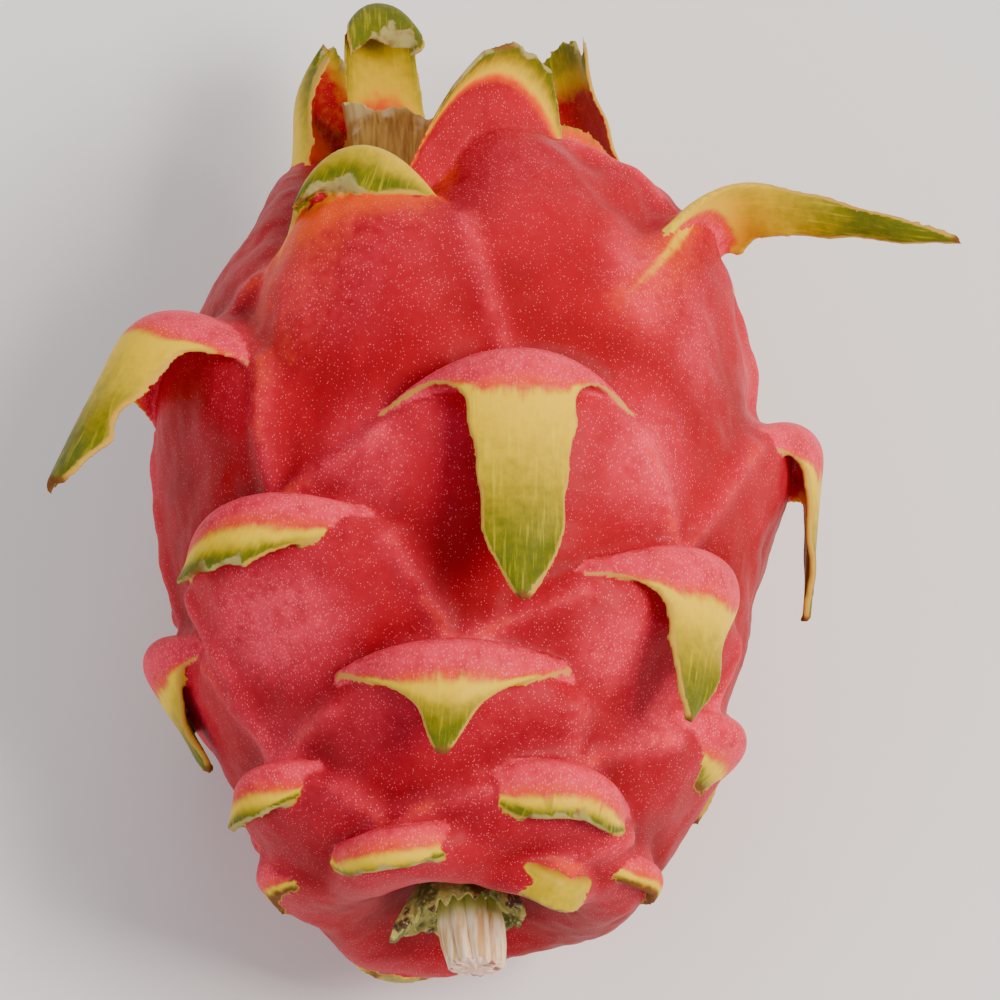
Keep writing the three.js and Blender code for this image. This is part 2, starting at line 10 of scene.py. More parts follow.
import bpy
import numpy as np
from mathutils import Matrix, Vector


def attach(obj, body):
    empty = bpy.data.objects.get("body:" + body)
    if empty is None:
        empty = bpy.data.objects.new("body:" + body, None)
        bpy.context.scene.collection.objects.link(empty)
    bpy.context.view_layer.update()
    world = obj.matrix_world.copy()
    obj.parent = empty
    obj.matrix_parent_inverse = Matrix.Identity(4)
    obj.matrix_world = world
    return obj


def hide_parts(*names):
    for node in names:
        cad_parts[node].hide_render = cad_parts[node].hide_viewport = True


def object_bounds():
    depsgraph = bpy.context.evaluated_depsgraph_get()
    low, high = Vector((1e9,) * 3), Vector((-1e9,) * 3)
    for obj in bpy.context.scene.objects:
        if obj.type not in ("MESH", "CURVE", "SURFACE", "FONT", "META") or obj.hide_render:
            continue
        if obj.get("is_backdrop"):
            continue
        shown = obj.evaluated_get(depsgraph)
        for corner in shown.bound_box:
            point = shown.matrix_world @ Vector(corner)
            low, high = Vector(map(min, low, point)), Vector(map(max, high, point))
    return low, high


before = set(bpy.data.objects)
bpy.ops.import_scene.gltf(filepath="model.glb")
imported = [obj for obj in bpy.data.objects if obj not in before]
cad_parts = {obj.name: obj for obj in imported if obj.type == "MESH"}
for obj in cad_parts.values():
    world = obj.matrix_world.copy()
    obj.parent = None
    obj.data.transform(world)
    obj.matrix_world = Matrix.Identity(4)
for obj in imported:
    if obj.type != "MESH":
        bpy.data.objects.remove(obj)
cad_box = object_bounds()
print("solids:", sorted(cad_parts), "box in mm:", [[round(v * 1000, 1) for v in c] for c in cad_box])

# %% [markdown]
# ## The eye, the floor and the lamps
# The fruit was photographed from above its stem end, so the camera looks down steeply from that side.
# A camera far away with a long lens keeps the perspective as flat as a studio's. The lamps are large
# soft boxes, the brightest up on the right, so that each scale throws a soft shadow to its left.

# %% Place the fruit in the frame, and set up the camera
MM = 0.001
CENTRE_X = 5.98  # middle of the whole outline, from the long axis
CENTRE_Y = 14.9
AXIS_HEIGHT = 42.6
VIEW_ELEVATION = math.radians(70)
VIEW_DISTANCE = 1400
VIEW_WIDTH = 145  # what the picture takes in, at the target
SENSOR = 36
target = Vector((5.1 - CENTRE_X, 9.25 - CENTRE_Y, AXIS_HEIGHT)) * MM
back = Vector((0, -math.cos(VIEW_ELEVATION), math.sin(VIEW_ELEVATION)))
camera_data = bpy.data.cameras.new("camera")
camera_data.sensor_width = SENSOR
camera_data.lens = SENSOR * VIEW_DISTANCE / VIEW_WIDTH
camera_data.clip_end = 20
camera = bpy.data.objects.new("camera", camera_data)
camera.location = target + back * VIEW_DISTANCE * MM
camera.rotation_euler = (math.pi / 2 - VIEW_ELEVATION, 0, 0)
bpy.context.collection.objects.link(camera)
bpy.context.scene.camera = camera
print("camera at", [round(v, 3) for v in camera.location])


# %% Small helpers for nodes and colours
def linear(colour):
    """An sRGB hex colour as linear light, which is what a shader works in."""
    parts = [int(colour[i : i + 2], 16) / 255 for i in (1, 3, 5)]
    return tuple(p / 12.92 if p <= 0.04045 else ((p + 0.055) / 1.055) ** 2.4 for p in parts) + (1.0,)


def feed(tree, node, inputs):
    """Sets a node's inputs, by name or in their order.

    Each is a value, a socket, or another node, which stands for the first output that it has live.
    """
    for name, value in inputs.items() if isinstance(inputs, dict) else enumerate(inputs):
        if isinstance(value, bpy.types.Node):
            value = next(output for output in value.outputs if output.enabled)
        if isinstance(value, bpy.types.NodeSocket):
            tree.links.new(value, node.inputs[name])
        else:
            node.inputs[name].default_value = value


def add(tree, kind, inputs=(), **settings):
    """Adds a node with its settings and its inputs."""
    node = tree.nodes.new(kind)
    for name, value in settings.items():
        setattr(node, name, value)
    feed(tree, node, inputs)
    return node


def new_material(name, colour):
    """A material with its colour as the viewport shows it, and its tree and surface shader."""
    material = bpy.data.materials.new(name)
    material.use_nodes = True
    material.diffuse_color = linear(colour)
    tree = material.node_tree
    return material, tree, tree.nodes["Principled BSDF"]


def painted(tree, ground, coats):
    """Lays coats of colour over a ground, and gives the last colour and each coat's share.

    A coat is its colour and its strength. Where it follows a pattern, the pattern comes next, with
    the values at which the coat starts and is full.
    """
    ground, shares = linear(ground), []
    for colour, share, *pattern in coats:
        if pattern:
            inputs = dict(zip(("Value", "From Min", "From Max", "To Max"), (*pattern, share)))
            share = add(tree, "ShaderNodeMapRange", inputs, interpolation_type="SMOOTHSTEP")
        colour = linear(colour) if isinstance(colour, str) else colour
        ground = add(tree, "ShaderNodeMix", {0: share, 6: ground, 7: colour}, data_type="RGBA")
        shares.append(share)
    return ground, shares


def finish_surface(tree, shader, colour, roughness, height, strength, depth):
    """Gives a shader its colour, its roughness, and fine relief of a depth in millimetres."""
    bump = add(tree, "ShaderNodeBump", {"Height": height, "Strength": strength, "Distance": depth * MM})
    feed(tree, shader, {"Base Color": colour, "Roughness": roughness, "Normal": bump})


def per_mm(size):
    """The scale of a pattern whose features are that many millimetres apart."""
    return 1 / (size * MM)


print("red skin in linear light:", [round(v, 3) for v in linear("#c91d2b")])

# %% The floor and the lamps
floor_material, tree, shader = new_material("matt white paper sweep", "#f4f2f0")
feed(tree, shader, {"Base Color": linear("#f4f2f0"), "Roughness": 0.9})
bpy.ops.mesh.primitive_plane_add(size=6)
floor = bpy.context.object
floor.name = "floor"
floor.data.materials.append(floor_material)
floor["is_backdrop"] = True


def soft_box(name, place, size, power, colour):
    """A square lamp that faces the fruit."""
    data = bpy.data.lights.new(name, "AREA")
    data.size = size
    data.energy = power
    data.color = linear(colour)[:3]
    lamp = bpy.data.objects.new(name, data)
    lamp.location = place
    lamp.rotation_euler = (Vector((0, 0, 0.04)) - Vector(place)).to_track_quat("-Z", "Y").to_euler()
    bpy.context.collection.objects.link(lamp)


soft_box("key lamp", (0.7, -0.15, 1.0), 0.5, 18, "#fff6ec")
soft_box("fill lamp", (-0.9, -0.5, 0.7), 0.9, 4, "#eef3ff")
soft_box("crown lamp", (0.1, 1.0, 0.8), 0.7, 4, "#ffffff")
world = bpy.data.worlds.new("pale room")
world.use_nodes = True
backdrop = world.node_tree.nodes["Background"]
feed(world.node_tree, backdrop, {"Color": linear("#f2f4f7"), "Strength": 0.5})
bpy.context.scene.world = world

# %% [markdown]
# ## The plan of the fruit
# A dragon fruit is a swollen stem tip, so it keeps a stem's plan: scales follow each other round it by
# the golden angle. Its skin is turned from one long section, and every scale is a small set of sizes.
# They are the sizes that the solids were made from, in millimetres, from the long axis.

# %% The long section, from the stem to the crown
SECTION = [
    (0, -49), (8, -49.5), (13.5, -52.5), (19, -54), (24.5, -51.5), (28, -46), (31.2, -38), (36.3, -26),
    (40.3, -14), (42.8, 0), (43.3, 12), (42, 24), (38.8, 36), (33.3, 46), (28.2, 52), (22, 56.5),
    (15.5, 59.5), (11, 62.5), (9.6, 64.6), (5, 64.2), (0, 64),
]
SECTION_STEPS = 400
STEM_HOLLOW_STEPS = 40  # the section starts in a hollow, and turns to the crown after these
CROWN_LEAN = -9
LEAN_FROM = 47
LEAN_TO = 63


def smooth_step(low, high, value):
    t = np.clip((value - low) / (high - low), 0, 1)
    return t * t * (3 - 2 * t)


def spline(points, count):
    """A smooth curve through the points, at even steps of its length."""
    points = np.array(points, float)
    last = len(points) - 1
    t = np.linspace(0, last, 8001)
    i = np.minimum(t.astype(int), last - 1)
    w = (t - i)[:, None]
    before, start, end = points[np.maximum(i - 1, 0)], points[i], points[i + 1]
    after = points[np.minimum(i + 2, last)]
    leave, arrive = (end - before) / 2, (after - start) / 2
    curve = (2 * start - 2 * end + leave + arrive) * w**3
    curve += (-3 * start + 3 * end - 2 * leave - arrive) * w**2 + leave * w + start
    arc = np.concatenate([[0], np.cumsum(np.linalg.norm(np.diff(curve, axis=0), axis=1))])
    even = np.linspace(0, arc[-1], count)
    return even, np.stack([np.interp(even, arc, curve[:, k]) for k in range(2)], 1)


ARC, OUTLINE = spline(SECTION, SECTION_STEPS + 1)
TANGENT = np.gradient(OUTLINE, ARC, axis=0)
TANGENT /= np.linalg.norm(TANGENT, axis=1)[:, None]
LENGTH = ARC[-1]


def section_at(along):
    r, y = (np.interp(along, ARC, OUTLINE[:, k]) for k in range(2))
    lean_r, lean_y = (np.interp(along, ARC, TANGENT[:, k]) for k in range(2))
    return r, y, lean_r, lean_y


def along_of(y):
    """Length along the section to a place along the axis, on the outer skin."""
    for i in range(STEM_HOLLOW_STEPS, SECTION_STEPS):
        low, high = OUTLINE[i, 1], OUTLINE[i + 1, 1]
        if low <= y < high:
            return ARC[i] + (y - low) / (high - low) * (ARC[i + 1] - ARC[i])
    return LENGTH


def skin_frame(along, angle):
    """Points on the smooth skin, with the directions out of it, to the crown and across."""
    along, angle = np.broadcast_arrays(np.asarray(along, float), np.asarray(angle, float))
    radius, y, lean_r, lean_y = section_at(along)
    sin, cos = np.sin(angle), np.cos(angle)
    lean = CROWN_LEAN * smooth_step(LEAN_FROM, LEAN_TO, y)
    origin = np.stack([radius * sin + lean, y, radius * cos + AXIS_HEIGHT], -1)
    out = np.stack([lean_y * sin, -lean_r, lean_y * cos], -1)
    up = np.stack([lean_r * sin, lean_y, lean_r * cos], -1)
    across = np.stack([cos, np.zeros_like(cos), -sin], -1)
    return radius, origin, out, up, across


print("skin from stem to crown, along its section:", round(LENGTH, 1), "mm")

# %% [markdown]
# Each scale has a place on the spiral, a swollen pad below it, a curved crest, and a blade that
# leaves the skin, folds back and ends in a tongue. Angles are in degrees: a blade that heads 0
# points to the crown, 90 straight out and 180 to the stem.

# %% The scales that the photograph shows
USUAL_SCALE = dict(
    width=32, right=1, arch=6, skew=0, crest=4, pad=22, axil=1.1, gap=3.2, length=20, tongue=11, cut=1,
    point=2.4, start=60, to=178, bend=(0, 0.35), drift=0, slant=0, cup=0, twist=0, fold=4.5,
    shoulder=4.3, kind="scale",
    inside=1, inner=0.85, glow=0.8, turns=0, leafy=0, raised=0,
)
SEEN_SCALES = [
    dict(y=54, angle=12, width=25, arch=5, crest=4.5, pad=34, length=14, tongue=19, cut=15,
         point=4, start=14, to=62, bend=(0.35, 1), drift=3, skew=0.35, slant=0.75, fold=9,
         shoulder=6, gap=4, kind="upper", turns=0.42, glow=0.4, raised=0.4, leafy=0.3),
    dict(y=43.5, angle=-22, width=27, arch=9, crest=6.5, pad=34, length=10, tongue=16, cut=10,
         start=15, to=165, bend=(0.05, 0.7), drift=-3, skew=0.1, fold=3, axil=8, gap=17, kind="upper",
         inside=0, glow=1.3, leafy=0.2),
    dict(y=55.5, angle=58, width=27, arch=3, crest=4, pad=26, length=5, tongue=20, cut=16, start=10,
         to=30, skew=-0.45, slant=-0.45, kind="bruised"),
    dict(y=44, angle=65, width=30, right=0.35, arch=9, pad=26, length=40.6, tongue=6.5, cut=1.5,
         point=2.6, start=52, to=105, bend=(0, 0.3), cup=-0.8, fold=6, shoulder=4, twist=58,
         drift=8, blush=4),
    dict(y=26.5, angle=-62, width=32, arch=9, pad=26, length=40, tongue=14, cut=4, point=7,
         start=68, to=154, bend=(0, 0.38), drift=0.5, cup=1, fold=7, shoulder=6, torn=0, leafy=-0.15),
    dict(y=17, angle=89, width=32, arch=6, crest=4.5, length=33, tongue=10, to=184, bend=(0, 0.28)),
    dict(y=10.2, angle=9, width=38, arch=5.5, skew=0.05, pad=25, length=45, tongue=13.5, cut=1.4,
         point=6, start=40, to=179, bend=(0, 0.28)),
    dict(y=-5.5, angle=-40, width=38, arch=6, crest=4.5, length=14, tongue=17, cut=11, point=3,
         start=50, to=172, drift=-6, bend=(0, 0.5)),
    dict(y=-11.5, angle=47.5, width=33, arch=6, length=30, tongue=10, cut=1.4, point=4.5, start=55, to=182,
         bend=(0, 0.25), drift=-4.5),
    dict(y=-15, angle=-87, width=28, crest=3, length=24, tongue=9, start=62, to=210, bend=(0, 0.3)),
    dict(y=-28, angle=-2, width=37, arch=5, crest=4.5, tongue=16, cut=1.2, point=1.1, start=40,
         to=184, drift=-1.5),
    dict(y=-28.5, angle=78, width=26, arch=5, length=13, tongue=9, cut=3, to=222, bend=(0, 0.4)),
    dict(y=-39, angle=-57, width=24, arch=4, pad=16, length=9, tongue=9, cut=6, point=4, to=180,
         drift=-3, bend=(0, 0.5)),
    dict(y=-42, angle=29, width=26, arch=4, skew=-0.12, pad=16, length=9, tongue=15,
         cut=10, point=4, start=70, to=195, bend=(0, 0.5)),
    dict(y=-48, angle=-84, width=15, arch=3, crest=2.4, pad=12, length=5, tongue=6, start=90, to=215),
    dict(y=-49, angle=72, width=17, arch=3, crest=1.8, pad=14, length=5, tongue=7, start=110, to=215,
         bend=(0, 0.8)),
    dict(y=-50, angle=-23, width=22, arch=3, skew=0.1, crest=4, pad=12, length=7, tongue=13, cut=9,
         point=4, start=80, to=200, bend=(0, 0.7)),
    dict(y=-53, angle=36, width=15, arch=2, crest=4.2, pad=8, length=5, tongue=11, cut=8,
         start=120, to=205, kind="scarred"),
    dict(y=-51.5, angle=203, width=24, arch=2, crest=4, pad=10, length=4, tongue=12, cut=8, start=130,
         to=190),
]
print("scales in sight:", len(SEEN_SCALES))

# %% The bracts of the crown, and the scales out of sight, which follow the same spiral
USUAL_BRACT = dict(arch=3, crest=3.4, pad=12, fold=4, shoulder=6, kind="bract")
CROWN_BRACTS = [
    dict(y=62.4, angle=192, width=15, length=39.5, tongue=12, cut=11, point=3, start=8, to=-165,
         bend=(0.58, 0.9), cup=0.8, drift=2, inside=0.1, turns=0.16, leafy=0.35),
    dict(y=60.5, angle=-112, width=22, length=22, tongue=17, cut=6, point=2.6, start=16, to=-34,
         bend=(0.1, 0.9), cup=-2.4, drift=2.5, inside=0.8),
    dict(y=53, angle=132, width=42, arch=5, length=36, tongue=8.5, cut=10, point=3, start=6,
         to=-16, bend=(0.1, 0.8), cup=-1.5, fold=6, shoulder=7.5, drift=1, inner=0.75),
    dict(y=58, angle=-150, width=20, length=18, tongue=11, cut=1.5, start=20, to=60, bend=(0.3, 1),
         cup=-1),
]
GOLDEN_ANGLE = 137.5
SPIRAL_ANGLE = 9
SPIRAL_PLACES = [
    (-9, 58), (-6, 48), (-4, 36), (-1, 21), (1, 8), (4, -5), (7, -18), (9, -28), (12, -39),
]


def placed(given, usual=USUAL_SCALE):
    scale = {**USUAL_SCALE, **usual, **given}
    scale["angle"] = math.radians(scale["angle"])
    scale["along"] = along_of(scale["y"])
    scale["bow"] = 4 * scale["arch"] / scale["width"] ** 2
    scale["torn"] = scale.get("torn", int(scale["cut"] > 4))
    scale["leafy"] = max(scale["leafy"], 0.55 * (scale["y"] < -35))
    return scale


def hidden_scales(state=7):
    """The same draws as the solids were made with, so that each scale keeps its place and size."""
    scales = []
    for turn, y in SPIRAL_PLACES:
        draws = []
        for _ in range(7):
            state = (state * 1664525 + 1013904223) % 2**32
            draws.append(state / 2**32)
        size = float(smooth_step(-60, -10, y))
        angle = SPIRAL_ANGLE - GOLDEN_ANGLE * turn + 8 * draws[0] - 4
        under = max(0, -math.cos(math.radians(angle)))
        given = dict(y=y, angle=angle, width=18 + 12 * size + 4 * draws[1], pad=14 + 8 * size)
        given["length"] = (8 + 14 * size + 6 * draws[2]) * (1 - 0.35 * under)
        given.update(tongue=7 + 3 * size + 2.5 * draws[3], cut=5 if draws[4] < 0.4 else 1.3)
        given.update(to=192 + 10 * draws[5] - 1.1 * max(0, y - 20), drift=6 * draws[6] - 3)
        scales.append(placed(given))
    return scales


skin_scales = [placed(given) for given in SEEN_SCALES] + hidden_scales()
crown_bracts = [placed(given, USUAL_BRACT) for given in CROWN_BRACTS]
print("scales in all:", len(skin_scales), "and bracts:", len(crown_bracts))

# %% [markdown]
# ## The skin
# Below each scale the skin swells to a pad, and behind each crest it drops into a fold, coloured a darker red
# that is partly its own colour and partly painted shade. Soft ridges tie the shoulders of a scale to the
# crests below it. Sculpting by hand would do this too, but a sum of smooth bumps keeps every pad tied to its
# scale, and can be made as fine as needed.

# %% Ridges from each shoulder to the nearest crest below
AXIL_FALL = 2.4
AXIL_OFFSET = 1
RIDGE_HEIGHT = 1.1
RIDGE_REACH = 1.8
RIDGE_LONGEST = 34
RIDGE_DROP = 5  # a crest below counts only from here on
RIDGE_OVERLAP = 2


def turn_between(angle, centre):
    turn = (angle - centre) / (2 * math.pi)
    return (turn - np.round(turn)) * 2 * math.pi


def ridges_of(scales):
    ridges = []
    for scale in scales:
        for side in (-1, 1):
            x = side * scale["width"] / 2
            along = scale["along"] - scale["arch"] + scale["skew"] * x
            angle = scale["angle"] + x / section_at(scale["along"])[0]
            best, least = None, RIDGE_LONGEST
            for other in scales:
                drop = along - other["along"]
                aside = section_at(other["along"])[0] * turn_between(other["angle"], angle)
                below = side * turn_between(other["angle"], scale["angle"]) > 0
                if other is scale or drop <= RIDGE_DROP or not below:
                    continue
                if math.hypot(drop, aside) < least:
                    best, least = other, math.hypot(drop, aside)
            if best:
                ridges.append((along, angle, best["along"] + RIDGE_OVERLAP, best["angle"]))
    return ridges


ridges = ridges_of(skin_scales)
print("ridges:", len(ridges))


# %% [markdown]
# Where the skin bulges between the scales it is paler pink: partly the skin's own waxy bloom, and partly
# painted highlight where these bulges face the lamps. These places follow no rule, so the ones in view are a
# short list, and the far side gets its own by chance.

# %% Pale places, partly painted highlight: y and angle of the middle, half length, half width, and how pale
PALE_AND_LIT_PATCHES = [
    (3, 36, 10, 8, 0.88), (-19, -43, 8.5, 11.6, 1.3), (-23, 34, 7.7, 6.5, 0.85), (1, -17, 8.5, 7.2, 0.6),
    (31, -38, 10, 6.5, 0.55), (25, 51, 10.8, 5.8, 0.65), (30, -21, 12.3, 8.7, 0.4), (50, 10, 9, 7, 0.35),
    (-30, 51, 6.9, 6.5, 0.7), (-34, -54, 5.4, 7.2, 0.5), (-54, -21, 3.9, 8.7, 0.5), (-56, 48, 5.4, 6.5, 0.5),
    (13, -58, 10.8, 4.3, 0.35), (-26, 3, 3.4, 13, 0.5), (31, 39, 9, 5.5, 1), (27, -33, 8, 6, 0.6),
]
WARM_STREAKS = [  # two ends as y and angle, half width, how strong, and how yellow its middle is
    ((44, 59, 26, 31), 2.6, 0.95, 0.9), ((44.5, -36, 27, -42), 6, 0.95, 0.75), ((36, 46, 24, 37), 6, 0.6, 0),
    ((52, -4, 42, -6), 2.6, 0.8, 0.4), ((40, -28, 20, -36), 9, 0.6, 0), ((58, 30, 50, 34), 5, 0.4, 0),
]
FAR_PATCHES = 14
FAR_SPACING = 22
draw = np.random.default_rng(12)
far_patches = []
while len(far_patches) < FAR_PATCHES:
    spot = [draw.uniform(*pair) for pair in ((-45, 45), (75, 285), (7, 11), (6, 10), (0.4, 1))]
    if all(abs(spot[0] - y) + 0.7 * abs(spot[1] - degrees) > FAR_SPACING for y, degrees, *_ in far_patches):
        far_patches.append(tuple(spot))
print("pale places:", len(PALE_AND_LIT_PATCHES) + len(far_patches))

# %% The relief of the skin, and what each place on it looks like
# The pale mark is partly the skin's own paler bloom and partly painted highlight on the swollen pads and
# bulges.
PAD_PALENESS = 0.4
WARM_REACH = 18  # how far below its crest a scale near the crown warms the skin
CREST_BAND = 1.6
DARK_HOLLOW = 1.4  # a hollow this deep gets the full dark red, partly painted shade
CALM_ENDS = 2, 16  # the relief fades in over these lengths at both ends


def waves(points, size, seed, count=12):
    """Smooth unevenness between about -1 and 1, whose lumps are about that size."""
    draw = np.random.default_rng(seed)
    total = np.zeros(points.shape[:-1])
    for _ in range(count):
        direction = draw.normal(size=points.shape[-1])
        direction *= draw.uniform(0.7, 1.4) * 2 * math.pi / (size * np.linalg.norm(direction))
        total += np.sin(points @ direction + draw.uniform(0, 2 * math.pi))
    return total / math.sqrt(count)


def from_line(along, angle, radius, start_along, start_angle, end_along, end_angle):
    """How far a place on the skin lies from a line on it, and how far down the line."""
    x = radius * turn_between(angle, start_angle)
    y = along - start_along
    end_x = radius * turn_between(end_angle, start_angle)
    end_y = end_along - start_along
    share = np.clip((x * end_x + y * end_y) / (end_x**2 + end_y**2), 0, 1)
    return np.hypot(x - share * end_x, y - share * end_y), share


def relief(along, angle, radius):
    """Height over the smooth skin, and marks: pale (partly painted highlight), crest, fold (partly painted
    shade), ridge, warm top, streak, its yellow.
    """
    swelling, hollow, pale, crest, warm, ridge, streak, tint = np.zeros((8, *along.shape))
    for scale in skin_scales + crown_bracts:
        x = radius * turn_between(angle, scale["angle"])
        y = along - scale["along"] + scale["bow"] * x * x - scale["skew"] * x
        near = (y >= -scale["pad"]) & (y <= 4 * scale["gap"])
        width = np.where(x > 0, scale["width"] * scale["right"], scale["width"])
        sideways = np.where(near, np.exp(-(np.abs(2 * x / width) ** 3)), 0)
        rise = np.where(y < 0, smooth_step(-scale["pad"], 0, y), np.exp(-((y / AXIL_FALL) ** 2)))
        swelling += (scale["crest"] * sideways * rise) ** 3
        behind = np.exp(-(((y - scale["gap"] - AXIL_OFFSET) / scale["gap"]) ** 2))
        hollow += scale["axil"] * sideways * behind
        swollen = np.where(y < 0, smooth_step(-scale["pad"], -2, y), 0)
        pale = np.maximum(pale, PAD_PALENESS * sideways * swollen)
        crest = np.maximum(crest, sideways * np.exp(-(((y - 1.2) / CREST_BAND) ** 2)))
        if scale["kind"] != "scale":
            warm = np.maximum(warm, scale["glow"] * sideways * smooth_step(-WARM_REACH, 0, y) * (y < 3))
    for ends in ridges:
        away = from_line(along, angle, radius, *ends)[0]
        ridge = np.maximum(ridge, np.exp(-((away / RIDGE_REACH) ** 2)))
    for (y, degrees, end_y, end_degrees), wide, strength, yellow in WARM_STREAKS:
        ends = along_of(y), math.radians(degrees), along_of(end_y), math.radians(end_degrees)
        away, share = from_line(along, angle, radius, *ends)
        fading = 1 - 0.5 * share
        streak = np.maximum(streak, strength * np.exp(-((away / wide) ** 2)) * fading)
        tint = np.maximum(tint, yellow * np.exp(-((away / wide / 0.5) ** 2)) * fading)
    for y, degrees, long, wide, share in PALE_AND_LIT_PATCHES + far_patches:
        x = radius * turn_between(angle, math.radians(degrees)) / wide
        pale = np.maximum(pale, share * np.exp(-((x**2 + ((along - along_of(y)) / long) ** 2) ** 1.3)))
    calm = smooth_step(*CALM_ENDS, along) * smooth_step(*CALM_ENDS, LENGTH - along)
    height = (np.cbrt(swelling) - hollow + RIDGE_HEIGHT * ridge) * calm
    marks = [pale, crest, np.minimum(1, hollow / DARK_HOLLOW), ridge * calm, warm, streak, tint]
    return height, np.stack(marks, -1)


# %% The skin as rings of points
SKIN_COLUMNS = 400
SKIN_ROWS = 340
POLE_GAP = 0.3
TUBE_X = -10  # in front of the dry tube the skin is scooped out, so that its wall stands free
SCOOP_HALF = 8.5
SCOOP_FOOT = 57
SCOOP_FALL = 0.36
SCOOP_RISE = 7
TUBE_RADIUS = 7.6
TUBE_HOLLOW = 6.4  # inside the tube the skin stays below its floor
HOLLOW_FLOOR = 62.8


def scooped(points):
    ahead = points[..., 2] - AXIS_HEIGHT
    aside = (points[..., 0] - TUBE_X) / SCOOP_HALF
    floor = SCOOP_FOOT - SCOOP_FALL * (ahead - TUBE_RADIUS) + SCOOP_RISE * aside**4
    points[..., 1] = np.where(ahead > 0, np.minimum(points[..., 1], floor), points[..., 1])
    in_tube = np.hypot(points[..., 0] - TUBE_X, ahead) < TUBE_HOLLOW
    points[..., 1] = np.where(in_tube, np.minimum(points[..., 1], HOLLOW_FLOOR), points[..., 1])
    return points


def skin_rings():
    along = np.linspace(POLE_GAP, LENGTH - POLE_GAP, SKIN_ROWS)[:, None] * np.ones(SKIN_COLUMNS)
    angle = np.linspace(0, 2 * math.pi, SKIN_COLUMNS, endpoint=False) * np.ones((SKIN_ROWS, 1))
    radius, origin, out, *_ = skin_frame(along, angle)
    height, marks = relief(along, angle, radius)
    height += 0.22 * waves(origin, 9, 3) + 0.1 * waves(origin, 3.4, 4)
    return scooped(origin + out * height[..., None]), marks


skin_points, skin_marks = skin_rings()
print("skin points:", skin_points.shape[0] * skin_points.shape[1])

# %% [markdown]
# ## The scales
# A scale is leathery: thick where it leaves the skin, a little under a millimetre at its edge. Its
# blade is a sheet of points that follows a bent spine. The sheet gets two faces and a sunk root,
# with wavy edges and, where it was torn in transport, a ragged end.

# %% The spine, the width and the thickness of a blade
SPINE_STEPS = 48
ROOT_DEPTH = 4
ROOT_FADE = 4.5  # how soon the swollen root thins out
ROOT_TAPER = 0.08  # how much narrower its sunk end is
SHOULDER_RISE = 8
SHOULDER_SINK = 0.8
TWIST_FROM = 0.05
TWIST_TO = 0.4
TONGUE_THICKNESS = 1.9
TIP_THICKNESS = 1.2
MARGIN_THICKNESS = 0.8
TORN_SHARE = 0.13  # how much of its length a torn blade loses at most, and a whole one
WHOLE_SHARE = 0.02
BLADE_ROWS = 72
BLADE_COLUMNS = 35


def spine_of(scale, origin, out):
    radial = np.array([math.sin(scale["angle"]), 0, math.cos(scale["angle"])])
    point = origin + out * (scale["crest"] / 2 + scale["raised"])
    step = scale["length"] / SPINE_STEPS
    points, headings, heights = [], [], []
    for i in range(SPINE_STEPS + 1):
        turned = smooth_step(*scale["bend"], (i + 0.5) / SPINE_STEPS)
        slope = math.radians(scale["start"] + (scale["to"] - scale["start"]) * turned)
        heading = radial * math.sin(slope) + np.array([0, math.cos(slope), 0])
        points.append(point)
        headings.append(heading)
        heights.append(max(0, (point - origin) @ out))
        point = point + heading * step
    return np.array(points), np.array(headings), np.array(heights)


def half_width(scale, share, side):
    past = np.maximum(0, share * scale["length"] - scale["fold"])
    tongue = scale["cut"] + (scale["tongue"] - scale["cut"]) * (1 - share ** scale["point"])
    shoulders = (scale["width"] - scale["tongue"]) * np.exp(-past / scale["shoulder"])
    return (tongue + shoulders * np.where(side > 0, scale["right"], 1)) / 2


def along_spine(values, share):
    steps = np.linspace(0, 1, SPINE_STEPS + 1)
    if values.ndim == 1:
        return np.interp(share, steps, values)
    return np.stack([np.interp(share, steps, values[:, k]) for k in range(values.shape[1])], -1)


